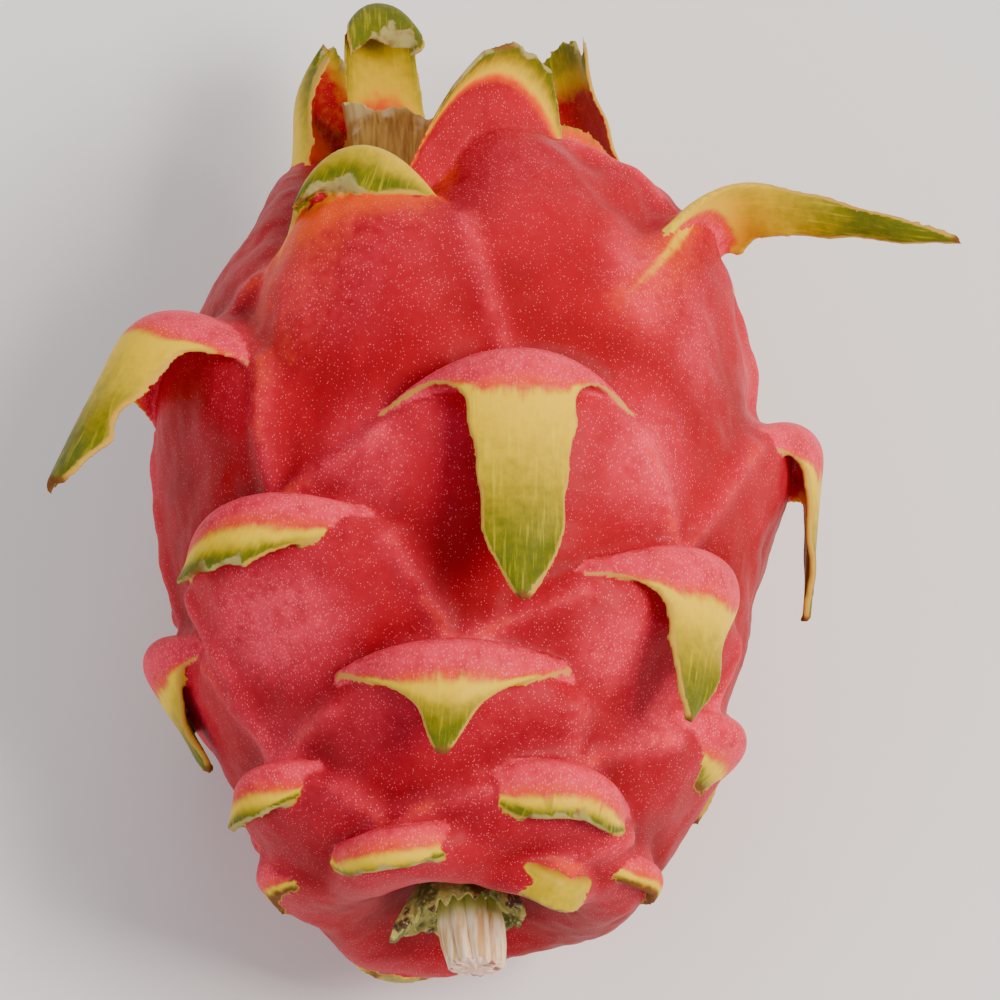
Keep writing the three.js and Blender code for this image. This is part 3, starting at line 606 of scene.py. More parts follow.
# %% A blade as rings of points, with marks for its colours
def blade_rings(scale, seed):
    radius, origin, out, up, across = skin_frame(scale["along"], scale["angle"])
    points, headings, heights = spine_of(scale, origin, out)
    rows = np.linspace(0, 1, BLADE_ROWS)[:, None]
    side = np.linspace(-1, 1, BLADE_COLUMNS)[None, :]
    torn = TORN_SHARE if scale["torn"] else WHOLE_SHARE
    ragged = np.abs(waves(np.stack([side[0] * 4, side[0] * 0], -1), 3.1, seed, 6))
    share = np.clip(rows * (1 - torn * rows**3 * ragged), 0, 1)
    away = share * scale["length"]
    wavy = 1 + 0.05 * waves(np.stack([away, away * 0 + side], -1), 9, seed + 1)
    half = half_width(scale, rows, side) * wavy
    x = half * side
    edge = np.abs(side) + 0 * rows
    inset = (1 - edge) * half
    aside = np.minimum(1, np.abs(2 * x / scale["width"]))
    middle = along_spine(points, share)
    heading = along_spine(headings, share)
    heading /= np.linalg.norm(heading, axis=-1, keepdims=True)
    outer = np.cross(across, heading)
    turn = math.radians(scale["twist"]) * smooth_step(TWIST_FROM, TWIST_TO, share)[..., None]
    sideways = np.cos(turn) * across + np.sin(turn) * outer
    outer = np.cos(turn) * outer - np.sin(turn) * across
    sinking = (np.minimum(along_spine(heights, share), SHOULDER_RISE) + SHOULDER_SINK) * aside**2.2
    lift = scale["cup"] * edge**2 * smooth_step(0.1, 0.5, share)
    curl = smooth_step(0.15, 0.6, share)
    lift += 0.55 * curl * edge**2 * waves(np.stack([away, side * 9 + 0 * away], -1), 13, seed + 2)
    tilt = -scale["bow"] * x * x + (scale["skew"] * (1 - share) + scale["slant"] * share) * x
    middle = middle + sideways * x[..., None] + across * (scale["drift"] * share**1.5)[..., None]
    middle += out * (-(x * x) / (2 * max(float(radius), 12)) - sinking)[..., None]
    middle += up * tilt[..., None] + outer * lift[..., None]
    root = max(0, scale["crest"] - TONGUE_THICKNESS) * np.exp(-away / ROOT_FADE)
    full = TIP_THICKNESS + (TONGUE_THICKNESS - TIP_THICKNESS) * (1 - share) + root
    thick = MARGIN_THICKNESS + (full - MARGIN_THICKNESS) * np.sqrt(np.maximum(0, 1 - edge**2.5))
    middle[..., 2] = np.maximum(middle[..., 2], thick / 2 + 0.02)
    faces = [middle + outer * (thick / 2)[..., None], middle - outer * (thick / 2)[..., None]]
    marks = np.stack([share, away, inset, x, share * 0], -1)
    under = marks.copy()
    under[..., 4] = 1
    rings = np.concatenate([faces[0], faces[1][:, ::-1]], 1)
    marks = np.concatenate([marks, under[:, ::-1]], 1)
    narrowing = ROOT_TAPER * ((rings[0] - points[0]) @ across)[:, None] * across
    sunk = rings[0] - headings[0] * ROOT_DEPTH - out - narrowing
    return np.concatenate([sunk[None], rings]), np.concatenate([marks[:1], marks])


blades = [blade_rings(scale, 100 + 7 * i) for i, scale in enumerate(skin_scales + crown_bracts)]
print("blades:", len(blades), "each of", blades[0][0].shape[0] * blades[0][0].shape[1], "points")

# %% [markdown]
# ## From marks to colours
# A ripe skin is deep red, pinker and paler where a pad swells. That paleness is partly the skin's own bloom
# and partly painted highlight, and the darker red in its folds and towards the stem is partly painted shade.
# A scale keeps that pink over its crest, where it bends round, and is yellow from there, then green and
# olive, and brown at a dry tip. Next to the crown the yellow starts on the skin. These weights are worked out
# for each point and kept as attributes, because they follow the shapes, not the space.

# %% Weights of the colours: four sets of three
DEEPEST_RED_AND_SHADE = 0.85  # how much of the darkest red the folds and the stem end get, partly own colour and partly painted shade


def skin_weights(points, marks):
    pale, crest, fold, ridge, warm, streak, tint = np.moveaxis(marks, -1, 0)
    mottled = 0.5 + 0.5 * np.clip(waves(points, 9, 21), -1, 1)
    # The pale mark in this pink is partly the skin's own bloom and partly painted highlight on bulges.
    pink = np.clip(pale * (0.85 + 0.15 * mottled) + 0.3 * crest + 0.4 * ridge, 0, 1)
    orange = np.clip(0.4 * ridge**2 * mottled + 0.75 * smooth_step(0.45, 1.1, warm) + 0.9 * streak, 0, 1)
    # Darker red in the folds behind the crests and towards the stem end: partly the skin's own deep red,
    # partly painted shade.
    deep_red_and_shade = np.clip(fold - 0.6 * crest + 0.45 * smooth_step(15, 40, -points[..., 1]), 0, 1)
    yellow = np.maximum(0.5 * smooth_step(0.9, 1.2, warm), 0.8 * smooth_step(0.3, 0.8, tint))
    return np.stack([pink, orange, DEEPEST_RED_AND_SHADE * deep_red_and_shade, yellow] + 8 * [0 * pale], -1)


def blade_weights(scale, marks):
    share, away, inset, x, under = np.moveaxis(marks, -1, 0)
    length = scale["length"]
    outline = np.minimum(inset, 1.2 * (length - away))
    rim = 1 - smooth_step(0.15, 0.7, outline)
    if scale["kind"] == "scale":
        start = scale.get("blush", min(6.8 + 0.16 * max(0, length - 14), 0.5 * length))
        end = min(start + 3, 0.78 * length)
        reach = away + 2.5 * (1 - smooth_step(0.5, 2.5, inset)) * smooth_step(1.5, 5, away)
        pink = 1 - smooth_step(start, end, reach)
        orange = 0.7 * smooth_step(start - 2, start + 1, reach) * (1 - smooth_step(start + 1, end, reach))
        yellow = smooth_step(start, end, reach)
        green = 0.12 + 0.95 * smooth_step(0.15, 1, share) + 0.3 * (1 - under) + scale["leafy"]
        green = green * smooth_step(start + 1, end + 3, reach)
    elif scale["kind"] == "scarred":
        pink, orange = 0.4 * (1 - smooth_step(0, 1.5, away)), 0.3 + 0 * share
        yellow, green = smooth_step(0, 1.5, away), 0.55 + 0 * share
        rim = np.maximum(rim, 1 - smooth_step(0.4, 1.2, outline))
    elif scale["kind"] == "bruised":
        pink = 0.6 + 0 * share
        orange = 0.5 + 0.4 * smooth_step(0.2, 0.8, share)
        yellow = 0.5 * smooth_step(0.3, 1, share)
        green = 0 * share
    else:
        turns, inner = scale["turns"], scale["inner"]
        inside = under * scale["inside"] * (1 - smooth_step(inner - 0.12, inner + 0.15, share))
        pink = 0.2 * (scale["kind"] == "upper") * (1 - smooth_step(turns, turns + 0.2, share))
        orange = smooth_step(turns, turns + 0.2, share) * (1 - smooth_step(turns + 0.2, turns + 0.5, share))
        orange = orange + 0.3 * inside
        yellow = smooth_step(turns + 0.08, turns + 0.3, share) * (1 - inside)
        edged = 0.3 * (1 - smooth_step(0.5, 3, inset)) + scale["leafy"]
        green = (smooth_step(turns + 0.15, 1.1, share) + edged * yellow) * (1 - inside)
    dry = 0.9 * smooth_step(length - 2.2, length - 0.4, away) * (1 - scale["torn"])
    dry = dry + 0.55 * (scale["kind"] == "bruised") * smooth_step(0.1, 0.9, share)
    torn = 0.75 * scale["torn"] * (1 - smooth_step(0.1, 0.6, away[-1:] - away))
    blade = smooth_step(1, 6, away)
    green = np.clip(green, 0, 1)
    return np.stack([pink, orange, 0 * share, yellow, green, dry, rim, under, torn, x, away, blade], -1)


WEIGHT_NAMES = ["ripe", "leaf", "edge", "grain"]
print("attributes:", WEIGHT_NAMES)


# %% One closed mesh from rings of points, with its weights
def row_frame(points):
    """Millimetres from the long axis to metres in the part's own frame."""
    return (points - np.array([CENTRE_X, CENTRE_Y, 0])) * MM


def ring_faces(rows, columns, start=0):
    """Quads between rings of points, and one face over each end."""
    i, j = np.meshgrid(np.arange(rows - 1), np.arange(columns), indexing="ij")
    a = start + i * columns + j
    b = start + i * columns + (j + 1) % columns
    quads = np.stack([a, b, b + columns, a + columns], -1).reshape(-1, 4).tolist()
    last = start + (rows - 1) * columns
    ends = [list(range(start, start + columns))[::-1], list(range(last, last + columns))]
    return quads + ends


def mesh_object(name, points, faces):
    mesh = bpy.data.meshes.new(name)
    mesh.from_pydata(points.tolist(), [], faces)
    mesh.update()
    piece = bpy.data.objects.new(name, mesh)
    bpy.context.collection.objects.link(piece)
    return piece


def face_outwards(piece):
    """Turns a closed mesh the right way round."""
    bpy.context.view_layer.objects.active = piece
    bpy.ops.object.select_all(action="DESELECT")
    piece.select_set(True)
    bpy.ops.object.mode_set(mode="EDIT")
    bpy.ops.mesh.select_all(action="SELECT")
    bpy.ops.mesh.normals_make_consistent(inside=False)
    bpy.ops.object.mode_set(mode="OBJECT")


all_points, all_weights, all_faces, count = [], [], [], 0
shapes = [(skin_points, skin_weights(skin_points, skin_marks))]
for scale, (points, marks) in zip(skin_scales + crown_bracts, blades):
    shapes.append((points, blade_weights(scale, marks)))
for points, weights in shapes:
    all_faces += ring_faces(points.shape[0], points.shape[1], count)
    all_points.append(row_frame(points.reshape(-1, 3)))
    all_weights.append(weights.reshape(-1, 12))
    count += points.shape[0] * points.shape[1]
marked = mesh_object("marked shape", np.concatenate(all_points), all_faces)
face_outwards(marked)
weights = np.concatenate(all_weights)
for k, name in enumerate(WEIGHT_NAMES):
    attribute = marked.data.attributes.new(name, "FLOAT_VECTOR", "POINT")
    attribute.data.foreach_set("vector", weights[:, 3 * k : 3 * k + 3].astype(np.float32).ravel())
print("marked shape:", count, "points")

# %% [markdown]
# ## One skin, grown as one piece
# The scales are part of the skin, so skin and blades are melted into one surface. A voxel remesh
# does this at half a millimetre, a light smoothing takes its steps away, and a decimation leaves
# points where the shape needs them. The weights are then carried over from the marked shape by
# Geometry Nodes, which read the nearest place on it.

# %% Melt the shapes together
VOXEL = 0.5
SKIN_TRIANGLES = 190000


def with_modifiers(piece, name):
    """A plain mesh from a piece and its modifiers, as an object of its own."""
    depsgraph = bpy.context.evaluated_depsgraph_get()
    mesh = bpy.data.meshes.new_from_object(piece.evaluated_get(depsgraph), depsgraph=depsgraph)
    mesh.name = name
    made = bpy.data.objects.new(name, mesh)
    bpy.context.collection.objects.link(made)
    return made


def triangles(mesh):
    return sum(len(polygon.vertices) - 2 for polygon in mesh.polygons)


remesh = marked.modifiers.new("melt", "REMESH")
remesh.mode = "VOXEL"
remesh.voxel_size = VOXEL * MM
smooth = marked.modifiers.new("soften", "SMOOTH")
smooth.factor = 0.5
smooth.iterations = 5
melted = with_modifiers(marked, "melted")
marked.modifiers.clear()
thin = melted.modifiers.new("thin", "DECIMATE")
thin.ratio = min(1, SKIN_TRIANGLES / triangles(melted.data))
print("melted:", triangles(melted.data), "triangles, kept share", round(thin.ratio, 2))
fruit = with_modifiers(melted, "fruit_skin")
bpy.data.objects.remove(melted)


# %% Carry the weights over with Geometry Nodes
def new_tree(name, **inputs):
    """A Geometry Nodes tree that takes geometry and the named inputs, and the sockets they come in by."""
    tree = bpy.data.node_groups.new(name, "GeometryNodeTree")
    for label, kind in {"Geometry": "Geometry", **inputs}.items():
        tree.interface.new_socket(label, in_out="INPUT", socket_type="NodeSocket" + kind)
    tree.interface.new_socket("Geometry", in_out="OUTPUT", socket_type="NodeSocketGeometry")
    return tree, add(tree, "NodeGroupInput").outputs


def end_tree(tree, geometry, material):
    """Ends a tree in real geometry that wears a material."""
    whole = add(tree, "GeometryNodeRealizeInstances", {"Geometry": geometry})
    coated = add(tree, "GeometryNodeSetMaterial", {"Geometry": whole, "Material": material})
    add(tree, "NodeGroupOutput", {"Geometry": coated})
    return tree


def carry_tree(names):
    tree, given = new_tree("carry the weights", Marked="Object", Skin="Material")
    source = add(tree, "GeometryNodeObjectInfo", {"Object": given["Marked"]}).outputs["Geometry"]
    geometry = given["Geometry"]
    for name in names:
        read = add(tree, "GeometryNodeInputNamedAttribute", {"Name": name}, data_type="FLOAT_VECTOR")
        inputs = {"Mesh": source, "Value": read}
        near = add(tree, "GeometryNodeSampleNearestSurface", inputs, data_type="FLOAT_VECTOR")
        inputs = {"Geometry": geometry, "Name": name, "Value": near}
        settings = {"data_type": "FLOAT_VECTOR", "domain": "POINT"}
        geometry = add(tree, "GeometryNodeStoreNamedAttribute", inputs, **settings)
    return end_tree(tree, geometry, given["Skin"])


def run_tree(piece, tree, name, **values):
    """Runs a tree on a piece, with its inputs set by their sockets' identifiers. The piece goes."""
    modifier = piece.modifiers.new("tree", "NODES")
    modifier.node_group = tree
    for item in tree.interface.items_tree:
        if item.item_type == "SOCKET" and item.in_out == "INPUT" and item.name in values:
            modifier[item.identifier] = values[item.name]
    made = with_modifiers(piece, name)
    bpy.data.objects.remove(piece)
    return made


# %% [markdown]
# ## Waxy fruit skin
# The skin of a ripe fruit is wax over red pulp cells: half glossy, with pale specks where the wax
# thins. The specks are up to a quarter of a millimetre wide, a third to half a millimetre apart on
# the pads and sparser in the folds. The view transform pales bright reds, so the base colours are
# deeper than the skin looks. Blades have fine fibres along them, and a thin corky line round their
# edge. Many borders between colours are frayed by one fine noise, as on a grown thing.

# %% The skin's material
def waxy_skin():
    material, tree, shader = new_material("waxy dragon fruit skin", "#c01222")
    place = add(tree, "ShaderNodeTexCoord").outputs["Object"]
    marks = {}
    for name in WEIGHT_NAMES:
        vector = add(tree, "ShaderNodeAttribute", attribute_name=name).outputs["Vector"]
        marks[name] = add(tree, "ShaderNodeSeparateXYZ", {"Vector": vector}).outputs
    pink, orange, deep_red_and_shade = marks["ripe"]
    yellow, green, dry = marks["leaf"]
    rim, _, torn = marks["edge"]
    across, away, blade = marks["grain"]
    broad, patchy, fine, grain = (
        add(tree, "ShaderNodeTexNoise", {"Vector": place, "Scale": per_mm(size), "Detail": detail})
        for size, detail in ((16, 3), (4.5, 3), (1.5, 5), (0.9, 4))
    )
    uneven = add(tree, "ShaderNodeMath", (fine, 0.5), operation="SUBTRACT")
    frayed = []  # weights whose borders a fine pattern breaks up
    for weight, fray in ((orange, 0.5), (yellow, 0.45), (green, 0.4), (rim, 0.9), (torn, 0.9), (dry, 0.8)):
        frayed.append(add(tree, "ShaderNodeMath", (uneven, fray, weight), operation="MULTIPLY_ADD"))
    mottling = add(tree, "ShaderNodeMath", (patchy, fine), operation="ADD")

    cell_place = add(tree, "ShaderNodeMapping", {"Vector": place, "Scale": (1, 0.7, 1)})
    cells = add(tree, "ShaderNodeTexVoronoi", {"Vector": cell_place, "Scale": per_mm(0.37)})
    lone = add(tree, "ShaderNodeSeparateColor", {"Color": cells.outputs["Color"]})
    chance = add(tree, "ShaderNodeMath", (lone, patchy), operation="ADD")
    largest = add(tree, "ShaderNodeMath", (pink, 0.16, 0.17), operation="MULTIPLY_ADD")
    inputs = {"Value": chance, "From Min": 0.2, "From Max": 0.9, "To Max": largest}
    size = add(tree, "ShaderNodeMapRange", inputs, interpolation_type="SMOOTHSTEP")
    speck = add(tree, "ShaderNodeMath", (size, cells), operation="SUBTRACT")
    speckled = add(tree, "ShaderNodeMath", (yellow, -0.65, 0.85), operation="MULTIPLY_ADD")

    slow = add(tree, "ShaderNodeMath", (away, 0.08), operation="MULTIPLY")
    lengthwise = add(tree, "ShaderNodeCombineXYZ", (across, slow))
    fibre = add(tree, "ShaderNodeTexNoise", {"Vector": lengthwise, "Scale": 1 / 0.5, "Detail": 2})
    leafy = add(tree, "ShaderNodeMath", (blade, yellow), operation="MULTIPLY")
    fibrous = add(tree, "ShaderNodeMath", (leafy, 0.3), operation="MULTIPLY")
    corky = add(tree, "ShaderNodeMath", (blade, 0.85), operation="MULTIPLY")
    frayed_end = painted(tree, "#a8985a", [("#7c5224", 1, patchy, 0.48, 0.66)])[0]
    colour, shares = painted(tree, "#980010", [
        ("#ae0018", 1, broad, 0.35, 0.65),
        # Darker red in the folds and towards the stem, partly painted shade.
        ("#7c000c", deep_red_and_shade),
        # On the skin this pink is partly its own colour and partly painted highlight on lit bulges.
        ("#f23350", pink, mottling, 0.15, 1.35),
        ("#ea4a08", 1, frayed[0], 0.1, 1),
        ("#f2c400", 1, frayed[1], 0.15, 0.85),
        ("#565f14", 1, frayed[2], 0.1, 1.1),
        ("#f4626e", speckled, speck, -0.06, 0.06),
        ("#f6dc14", fibrous, fibre, 0.5, 0.8),
        ("#cf9f3c", corky, frayed[3], 0.3, 0.8),
        (frayed_end, 1, frayed[4], 0.3, 0.8),
        ("#74451e", 1, frayed[5], 0.25, 0.9),
    ])

    waxy = add(tree, "ShaderNodeMath", (fine, 0.2, 0.38), operation="MULTIPLY_ADD")
    dull = add(tree, "ShaderNodeMath", (shares[-1], shares[-2]), operation="MAXIMUM")
    rough = add(tree, "ShaderNodeMath", (dull, 0.3, waxy), operation="MULTIPLY_ADD")
    pores = add(tree, "ShaderNodeMath", (cells, -0.25), operation="MULTIPLY")
    ribbed = add(tree, "ShaderNodeMath", (fibre, blade, pores), operation="MULTIPLY_ADD")
    height = add(tree, "ShaderNodeMath", (grain, 0.8, ribbed), operation="MULTIPLY_ADD")
    finish_surface(tree, shader, colour, rough, height, 0.35, 0.12)
    feed(tree, shader, {
        "IOR": 1.42, "Specular IOR Level": 0.14, "Subsurface Weight": 0.06,
        "Subsurface Radius": (1.0, 0.2, 0.12), "Subsurface Scale": 1.2 * MM,
    })
    return material


skin_material = waxy_skin()
fruit = run_tree(fruit, carry_tree(WEIGHT_NAMES), "fruit_skin", Skin=skin_material, Marked=marked)
bpy.data.objects.remove(marked)
fruit.data.shade_smooth()
lowest = np.array([vertex.co.z for vertex in fruit.data.vertices])
for vertex in fruit.data.vertices:
    if vertex.co.z < 0:
        vertex.co.z = 0
print("fruit:", triangles(fruit.data), "triangles, flattened points:", int((lowest < 0).sum()))

# %% [markdown]
# ## The broken stem
# The fruit was cut or torn from its cactus, so its stem ends in a collar of greenish bark round a
# pale core of wood fibres. The collar is a turned ring with a ragged lip. The core is a fluted
# column whose end is broken at many heights.

# %% Bark collar and pale core
STEM_LIFT = 1.6  # how far its end points up from the long axis
STEM_DRIFT = 1.4  # and to +X


def circle(columns):
    """Angles round an axis, and their points on a circle, so that waves close without a seam."""
    angle = np.linspace(0, 2 * math.pi, columns, endpoint=False)
    return angle, np.stack([np.cos(angle), np.sin(angle)], -1)


def ring(angle, reach, x, y, z):
    return np.stack([x + reach * np.sin(angle), y + 0 * angle, z + reach * np.cos(angle)], -1)


def more_rings(rings, count, ease=0):
    """More rings between the given ones. The ease rounds the steps from one to the next."""
    rings = np.array(rings)
    steps = np.linspace(0, len(rings) - 1, count)
    low = np.minimum(steps.astype(int), len(rings) - 2)
    part = (steps - low)[:, None, None]
    part = ease * smooth_step(0, 1, part) + (1 - ease) * part
    return rings[low] * (1 - part) + rings[low + 1] * part


def ring_object(name, rings, material):
    piece = mesh_object(name, row_frame(rings.reshape(-1, 3)), ring_faces(*rings.shape[:2]))
    face_outwards(piece)
    piece.data.materials.append(material)
    piece.data.shade_smooth()
    return piece


def on_axis(y):
    """A place along the long axis, in the part's own Y."""
    return (y - CENTRE_Y) * MM


def bark_material():
    material, tree, shader = new_material("cactus bark, olive and brown", "#7b6c35")
    place = add(tree, "ShaderNodeTexCoord").outputs["Object"]
    patches = add(tree, "ShaderNodeTexNoise", {"Vector": place, "Scale": per_mm(5), "Detail": 4})
    grit = add(tree, "ShaderNodeTexNoise", {"Vector": place, "Scale": per_mm(0.6), "Detail": 3})
    coats = [("#a39c4a", 1, patches, 0.4, 0.52), ("#4e3014", 1, patches, 0.54, 0.6)]
    colour = painted(tree, "#565a1c", coats + [("#c4b070", 1, grit, 0.52, 0.72)])[0]
    finish_surface(tree, shader, colour, 0.75, grit, 0.6, 0.25)
    return material


def core_material():
    material, tree, shader = new_material("pale cactus wood, broken across", "#dcc69c")
    place = add(tree, "ShaderNodeTexCoord").outputs["Object"]
    long = add(tree, "ShaderNodeMapping", {"Vector": place, "Scale": (1, 0.12, 1)})
    strands = add(tree, "ShaderNodeTexNoise", {"Vector": long, "Scale": per_mm(0.9), "Detail": 3})
    wide = add(tree, "ShaderNodeMapping", {"Vector": place, "Scale": (0.35, 1, 1)})
    stain = add(tree, "ShaderNodeTexNoise", {"Vector": wide, "Scale": per_mm(1.1), "Detail": 2})
    depth = add(tree, "ShaderNodeSeparateXYZ", {"Vector": place}).outputs["Y"]
    broken_face = painted(tree, "#f6cdb4", [("#8e2e1c", 0.8, stain, 0.56, 0.64)])[0]
    colour = painted(tree, "#d8a768", [
        ("#fbe6c0", 1, strands, 0.35, 0.65),
        (broken_face, 1, depth, on_axis(-61.6), on_axis(-62.1)),
        ("#b5ab4a", 1, depth, on_axis(-56.5), on_axis(-53)),
    ])[0]
    finish_surface(tree, shader, colour, 0.8, strands, 0.7, 0.3)
    return material


bark = bark_material()
pale_core = core_material()


def torn_collar():
    """A sleeve of bark that follows the stem out and tears off in flaps, longer on its left."""
    angle, around = circle(160)
    flap = np.exp(-((turn_between(angle, math.radians(-75)) / 0.75) ** 2))
    torn = 0.9 * waves(around * 4, 2.2, 41) + 0.5 * waves(around * 4, 0.9, 42) + 3.6 * flap
    open_out = 1 + 0.1 * waves(around * 4, 3, 43) + 0.2 * flap
    outside = [(5.3, -45.8, 0), (6.3, -49, 0), (7.6, -51, 0.1), (8.5, -52.6, 0.45), (8.7, -53.8, 1)]
    inside = [(8.0, -53.8, 1), (7.4, -52.8, 0.6), (6, -52, 0.2), (2, -51.6, 0)]
    rings = []
    for radius, y, share in outside + inside:
        reach = radius * (1 + (open_out - 1) * share) + 0.12 * waves(around * 4 + y, 1.2, 44)
        rings.append(ring(angle, reach, 0, y - share * torn, AXIS_HEIGHT))
    return more_rings(rings, 50)


def split_core():
    """A wood column that has split lengthwise into rounded staves, cut off flat."""
    angle, around = circle(192)
    stave = np.abs(np.sin(4.5 * angle + 0.5 + 0.35 * waves(around * 4, 5, 45))) ** 0.7
    profile = [
        (4.2, -51.6, 0.4), (4.6, -53, 0.8), (4.9, -55.5, 1), (4.7, -58.5, 1), (4.3, -61, 1),
        (4.1, -61.9, 0.9), (3.7, -62.2, 0.5), (2.2, -62.3, 0.2), (0.3, -62.3, 0),
    ]
    rings = []
    for radius, y, depth in profile:
        bent = min(1, max(0, (y + 45.5) / -16.5)) ** 2
        reach = radius * (1 - 0.2 * depth * (1 - stave)) + 0.05 * waves(around * 4 + y * 0.3, 1.5, 46)
        ends = y + (0.25 * waves(around * reach[:, None], 1.3, 47) if y < -61.5 else 0)
        rings.append(ring(angle, reach, 0.4 + STEM_DRIFT * bent, ends, AXIS_HEIGHT + STEM_LIFT * bent))
    return more_rings(rings, 70, 0.35)


collar = ring_object("stem_bark", torn_collar(), bark)
core = ring_object("stem_core", split_core(), pale_core)
print("stem:", triangles(collar.data) + triangles(core.data), "triangles")

# %% [markdown]
# ## Loose strands, grown by Geometry Nodes
# Where the stem broke, single fibres stick out, and in the crown dry threads are left of the flower.
# Both are the same thing at two sizes: thin tapering strands with a bend, rooted on a small patch.
# One tree makes them. It scatters roots on the patch, sets a line on each, bends it with noise and
# gives it a body.

# %% The tree of strands
def strand_tree():
    sizes = dict.fromkeys(("Spacing", "Length", "Spread", "Bend", "Thickness"), "Float")
    tree, given = new_tree("loose strands", **sizes, Seed="Int", Fibre="Material")
    inputs = {"Mesh": given["Geometry"], "Distance Min": given["Spacing"]}
    inputs.update({"Density Max": 3e7, "Seed": given["Seed"]})
    roots = add(tree, "GeometryNodeDistributePointsOnFaces", inputs, distribute_method="POISSON")
    line = add(tree, "GeometryNodeCurvePrimitiveLine", {"End": (0, 0, 1)})
    line = add(tree, "GeometryNodeResampleCurve", {"Curve": line, "Count": 9})
    inputs = {"Min": (-1, -1, -1), "Max": (1, 1, 1), "Seed": 3}
    tilt = add(tree, "FunctionNodeRandomValue", inputs, data_type="FLOAT_VECTOR")
    tilt = add(tree, "ShaderNodeVectorMath", {0: tilt, "Scale": given["Spread"]}, operation="SCALE")
    inputs = {"Rotation": roots.outputs["Rotation"], "Rotate By": tilt}
    turned = add(tree, "FunctionNodeRotateEuler", inputs)
    part = add(tree, "FunctionNodeRandomValue", {2: 0.35, 3: 1, "Seed": 5}, data_type="FLOAT")
    size = add(tree, "ShaderNodeMath", (given["Length"], part), operation="MULTIPLY")
    inputs = {"Points": roots, "Instance": line, "Rotation": turned, "Scale": size}
    lines = add(tree, "GeometryNodeInstanceOnPoints", inputs)
    lines = add(tree, "GeometryNodeRealizeInstances", {"Geometry": lines})

    share = add(tree, "GeometryNodeSplineParameter")
    place = add(tree, "GeometryNodeInputPosition")
    drift = add(tree, "ShaderNodeTexNoise", {"Vector": place, "Scale": per_mm(4), "Detail": 1})
    inputs = (drift.outputs["Color"], (0.5, 0.5, 0.5))
    drift = add(tree, "ShaderNodeVectorMath", inputs, operation="SUBTRACT")
    late = add(tree, "ShaderNodeMath", (share, 1.6), operation="POWER")
    amount = add(tree, "ShaderNodeMath", (given["Bend"], late), operation="MULTIPLY")
    drift = add(tree, "ShaderNodeVectorMath", {0: drift, "Scale": amount}, operation="SCALE")
    lines = add(tree, "GeometryNodeSetPosition", {"Geometry": lines, "Offset": drift})
    taper = add(tree, "ShaderNodeMath", (share, -0.8, 1), operation="MULTIPLY_ADD")
    radius = add(tree, "ShaderNodeMath", (given["Thickness"], taper), operation="MULTIPLY")
    lines = add(tree, "GeometryNodeSetCurveRadius", {"Curve": lines, "Radius": radius})
    section = add(tree, "GeometryNodeCurvePrimitiveCircle", {"Resolution": 5, "Radius": 0.5})
    inputs = {"Curve": lines, "Profile Curve": section, "Scale": radius, "Fill Caps": True}
    return end_tree(tree, add(tree, "GeometryNodeCurveToMesh", inputs), given["Fibre"])


strands = strand_tree()


def disc(radius, x, y, z, towards):
    """A small face for strands to root on. It goes once they are grown."""
    points = ring(circle(24)[0] * towards, radius, x, y, z)
    return mesh_object("patch", row_frame(points), [list(range(len(points)))])


stem_fibres = run_tree(
    disc(6.6, 0.2, -52.4, AXIS_HEIGHT, 1), strands, "stem_fibres",
    Spacing=0.9 * MM, Length=3.2 * MM, Spread=0.5, Bend=2.4 * MM, Thickness=0.4 * MM, Seed=4, Fibre=pale_core,
)
fibre_box = [[round(v * 1000, 1) for v in stem_fibres.bound_box[i]] for i in (0, 6)]
print("stem fibres:", triangles(stem_fibres.data), "triangles", *fibre_box)

# %% [markdown]
# ## The dry flower tube
# The flower was a long tube, and it dried and tore off a little above the fruit. What is left is a
# thin tan cup with a torn, papery rim, and a few dry threads of its stamens inside. It is turned
# like the stem, as a wall with an inner and an outer face.

# %% Tube wall
TUBE_RIM = 68.5
TUBE_SLANT = 2.6
TUBE_HIGH_SIDE = math.radians(-120)


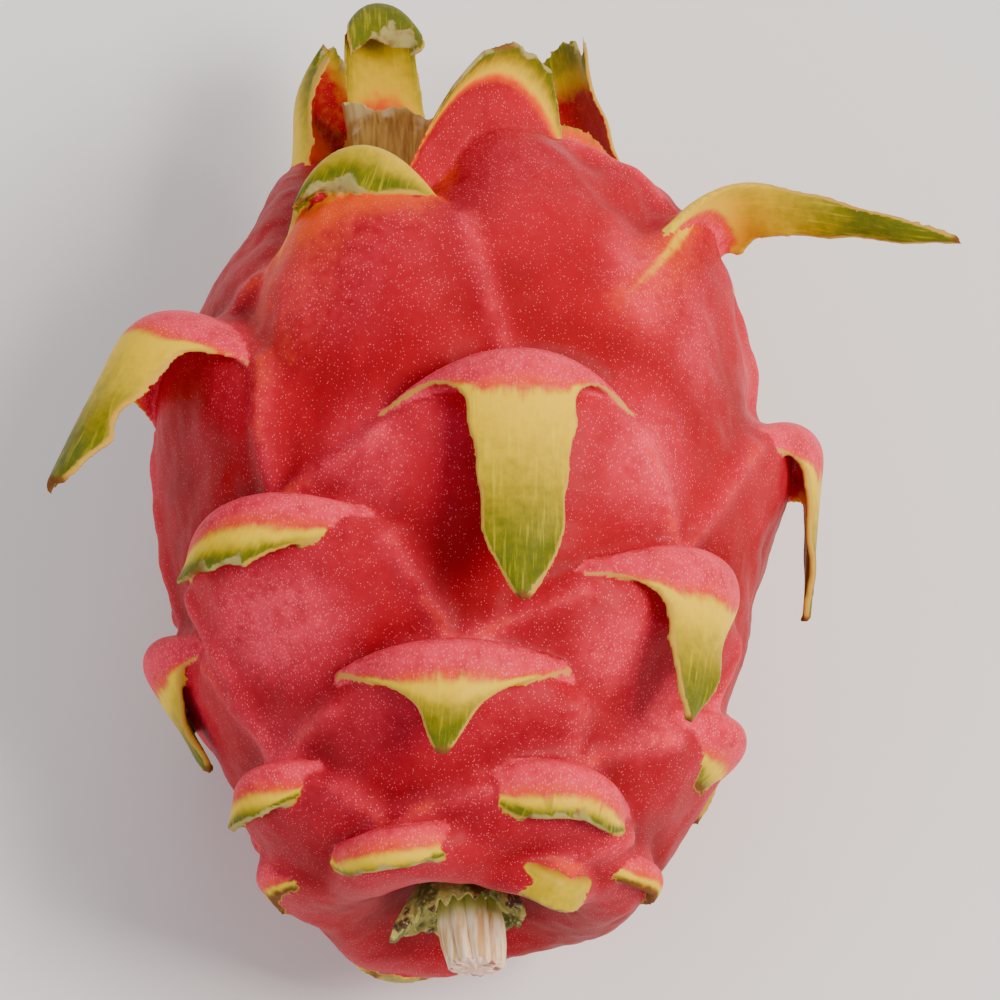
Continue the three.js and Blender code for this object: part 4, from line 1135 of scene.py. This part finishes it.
def tube_rings():
    angle, around = circle(180)
    torn = 0.6 * np.sin(3 * angle) + 0.35 * np.sin(7 * angle + 1) + 0.16 * waves(around * 4, 0.8, 51)
    rim = TUBE_RIM + TUBE_SLANT * np.cos(angle - TUBE_HIGH_SIDE) + torn
    outside = [(6.8, 52.4, 0), (6.9, 58, 0), (7.2, 62.5, 0), (7.4, 65, 0.5), (7.7, 66, 0.85), (8.0, 67, 1)]
    inside = [(7.3, 67, 1), (6.9, 66, 0.85), (6.4, 65, 0.5), (6.1, 64.6, 0.1), (4.5, 64.3, 0), (0.4, 64.1, 0)]
    rings = []
    for radius, y, share in outside + inside:
        uneven = 0.12 * waves(around * 4 + y * 0.1, 1.1, 52) + 0.25 * share * waves(around * 3, 2.5, 53)
        reach = radius + uneven * min(1, radius / 6)
        rings.append(ring(angle, reach, TUBE_X, y + share * (rim - 67), AXIS_HEIGHT))
    return more_rings(rings, 60)


def husk_material():
    material, tree, shader = new_material("dry flower husk", "#b9935c")
    place = add(tree, "ShaderNodeTexCoord").outputs["Object"]
    long = add(tree, "ShaderNodeMapping", {"Vector": place, "Scale": (1, 0.15, 1)})
    veins = add(tree, "ShaderNodeTexNoise", {"Vector": long, "Scale": per_mm(0.6), "Detail": 4})
    stain = add(tree, "ShaderNodeTexNoise", {"Vector": place, "Scale": per_mm(4), "Detail": 3})
    height = add(tree, "ShaderNodeSeparateXYZ", {"Vector": place}).outputs["Y"]
    colour = painted(tree, "#9c6a24", [
        ("#d09c44", 1, veins, 0.25, 0.75),
        ("#dcc08a", 1, stain, 0.55, 0.7),
        ("#d8b870", 1, height, on_axis(TUBE_RIM - 2.2), on_axis(TUBE_RIM - 0.4)),
    ])[0]
    finish_surface(tree, shader, colour, 0.85, veins, 0.6, 0.2)
    return material


husk = husk_material()
tube = ring_object("tube_wall", tube_rings(), husk)
threads = run_tree(
    disc(5.2, TUBE_X, 64.3, AXIS_HEIGHT, -1), strands, "tube_threads",
    Spacing=1.5 * MM, Length=3.6 * MM, Spread=0.5, Bend=3.0 * MM, Thickness=0.42 * MM, Seed=9, Fibre=husk,
)
print("tube:", triangles(tube.data), "triangles, threads:", triangles(threads.data))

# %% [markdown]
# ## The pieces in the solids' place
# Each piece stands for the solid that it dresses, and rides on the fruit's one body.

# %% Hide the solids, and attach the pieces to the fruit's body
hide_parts("fruit")
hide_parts("stem_stub")
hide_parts("flower_tube")
for piece in (fruit, collar, core, stem_fibres, tube, threads):
    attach(piece, "root")
seen_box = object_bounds()
growth = [[round((s - c) * 1000, 1) for s, c in zip(*pair)] for pair in zip(seen_box, cad_box)]
print("grown by, in mm:", growth)
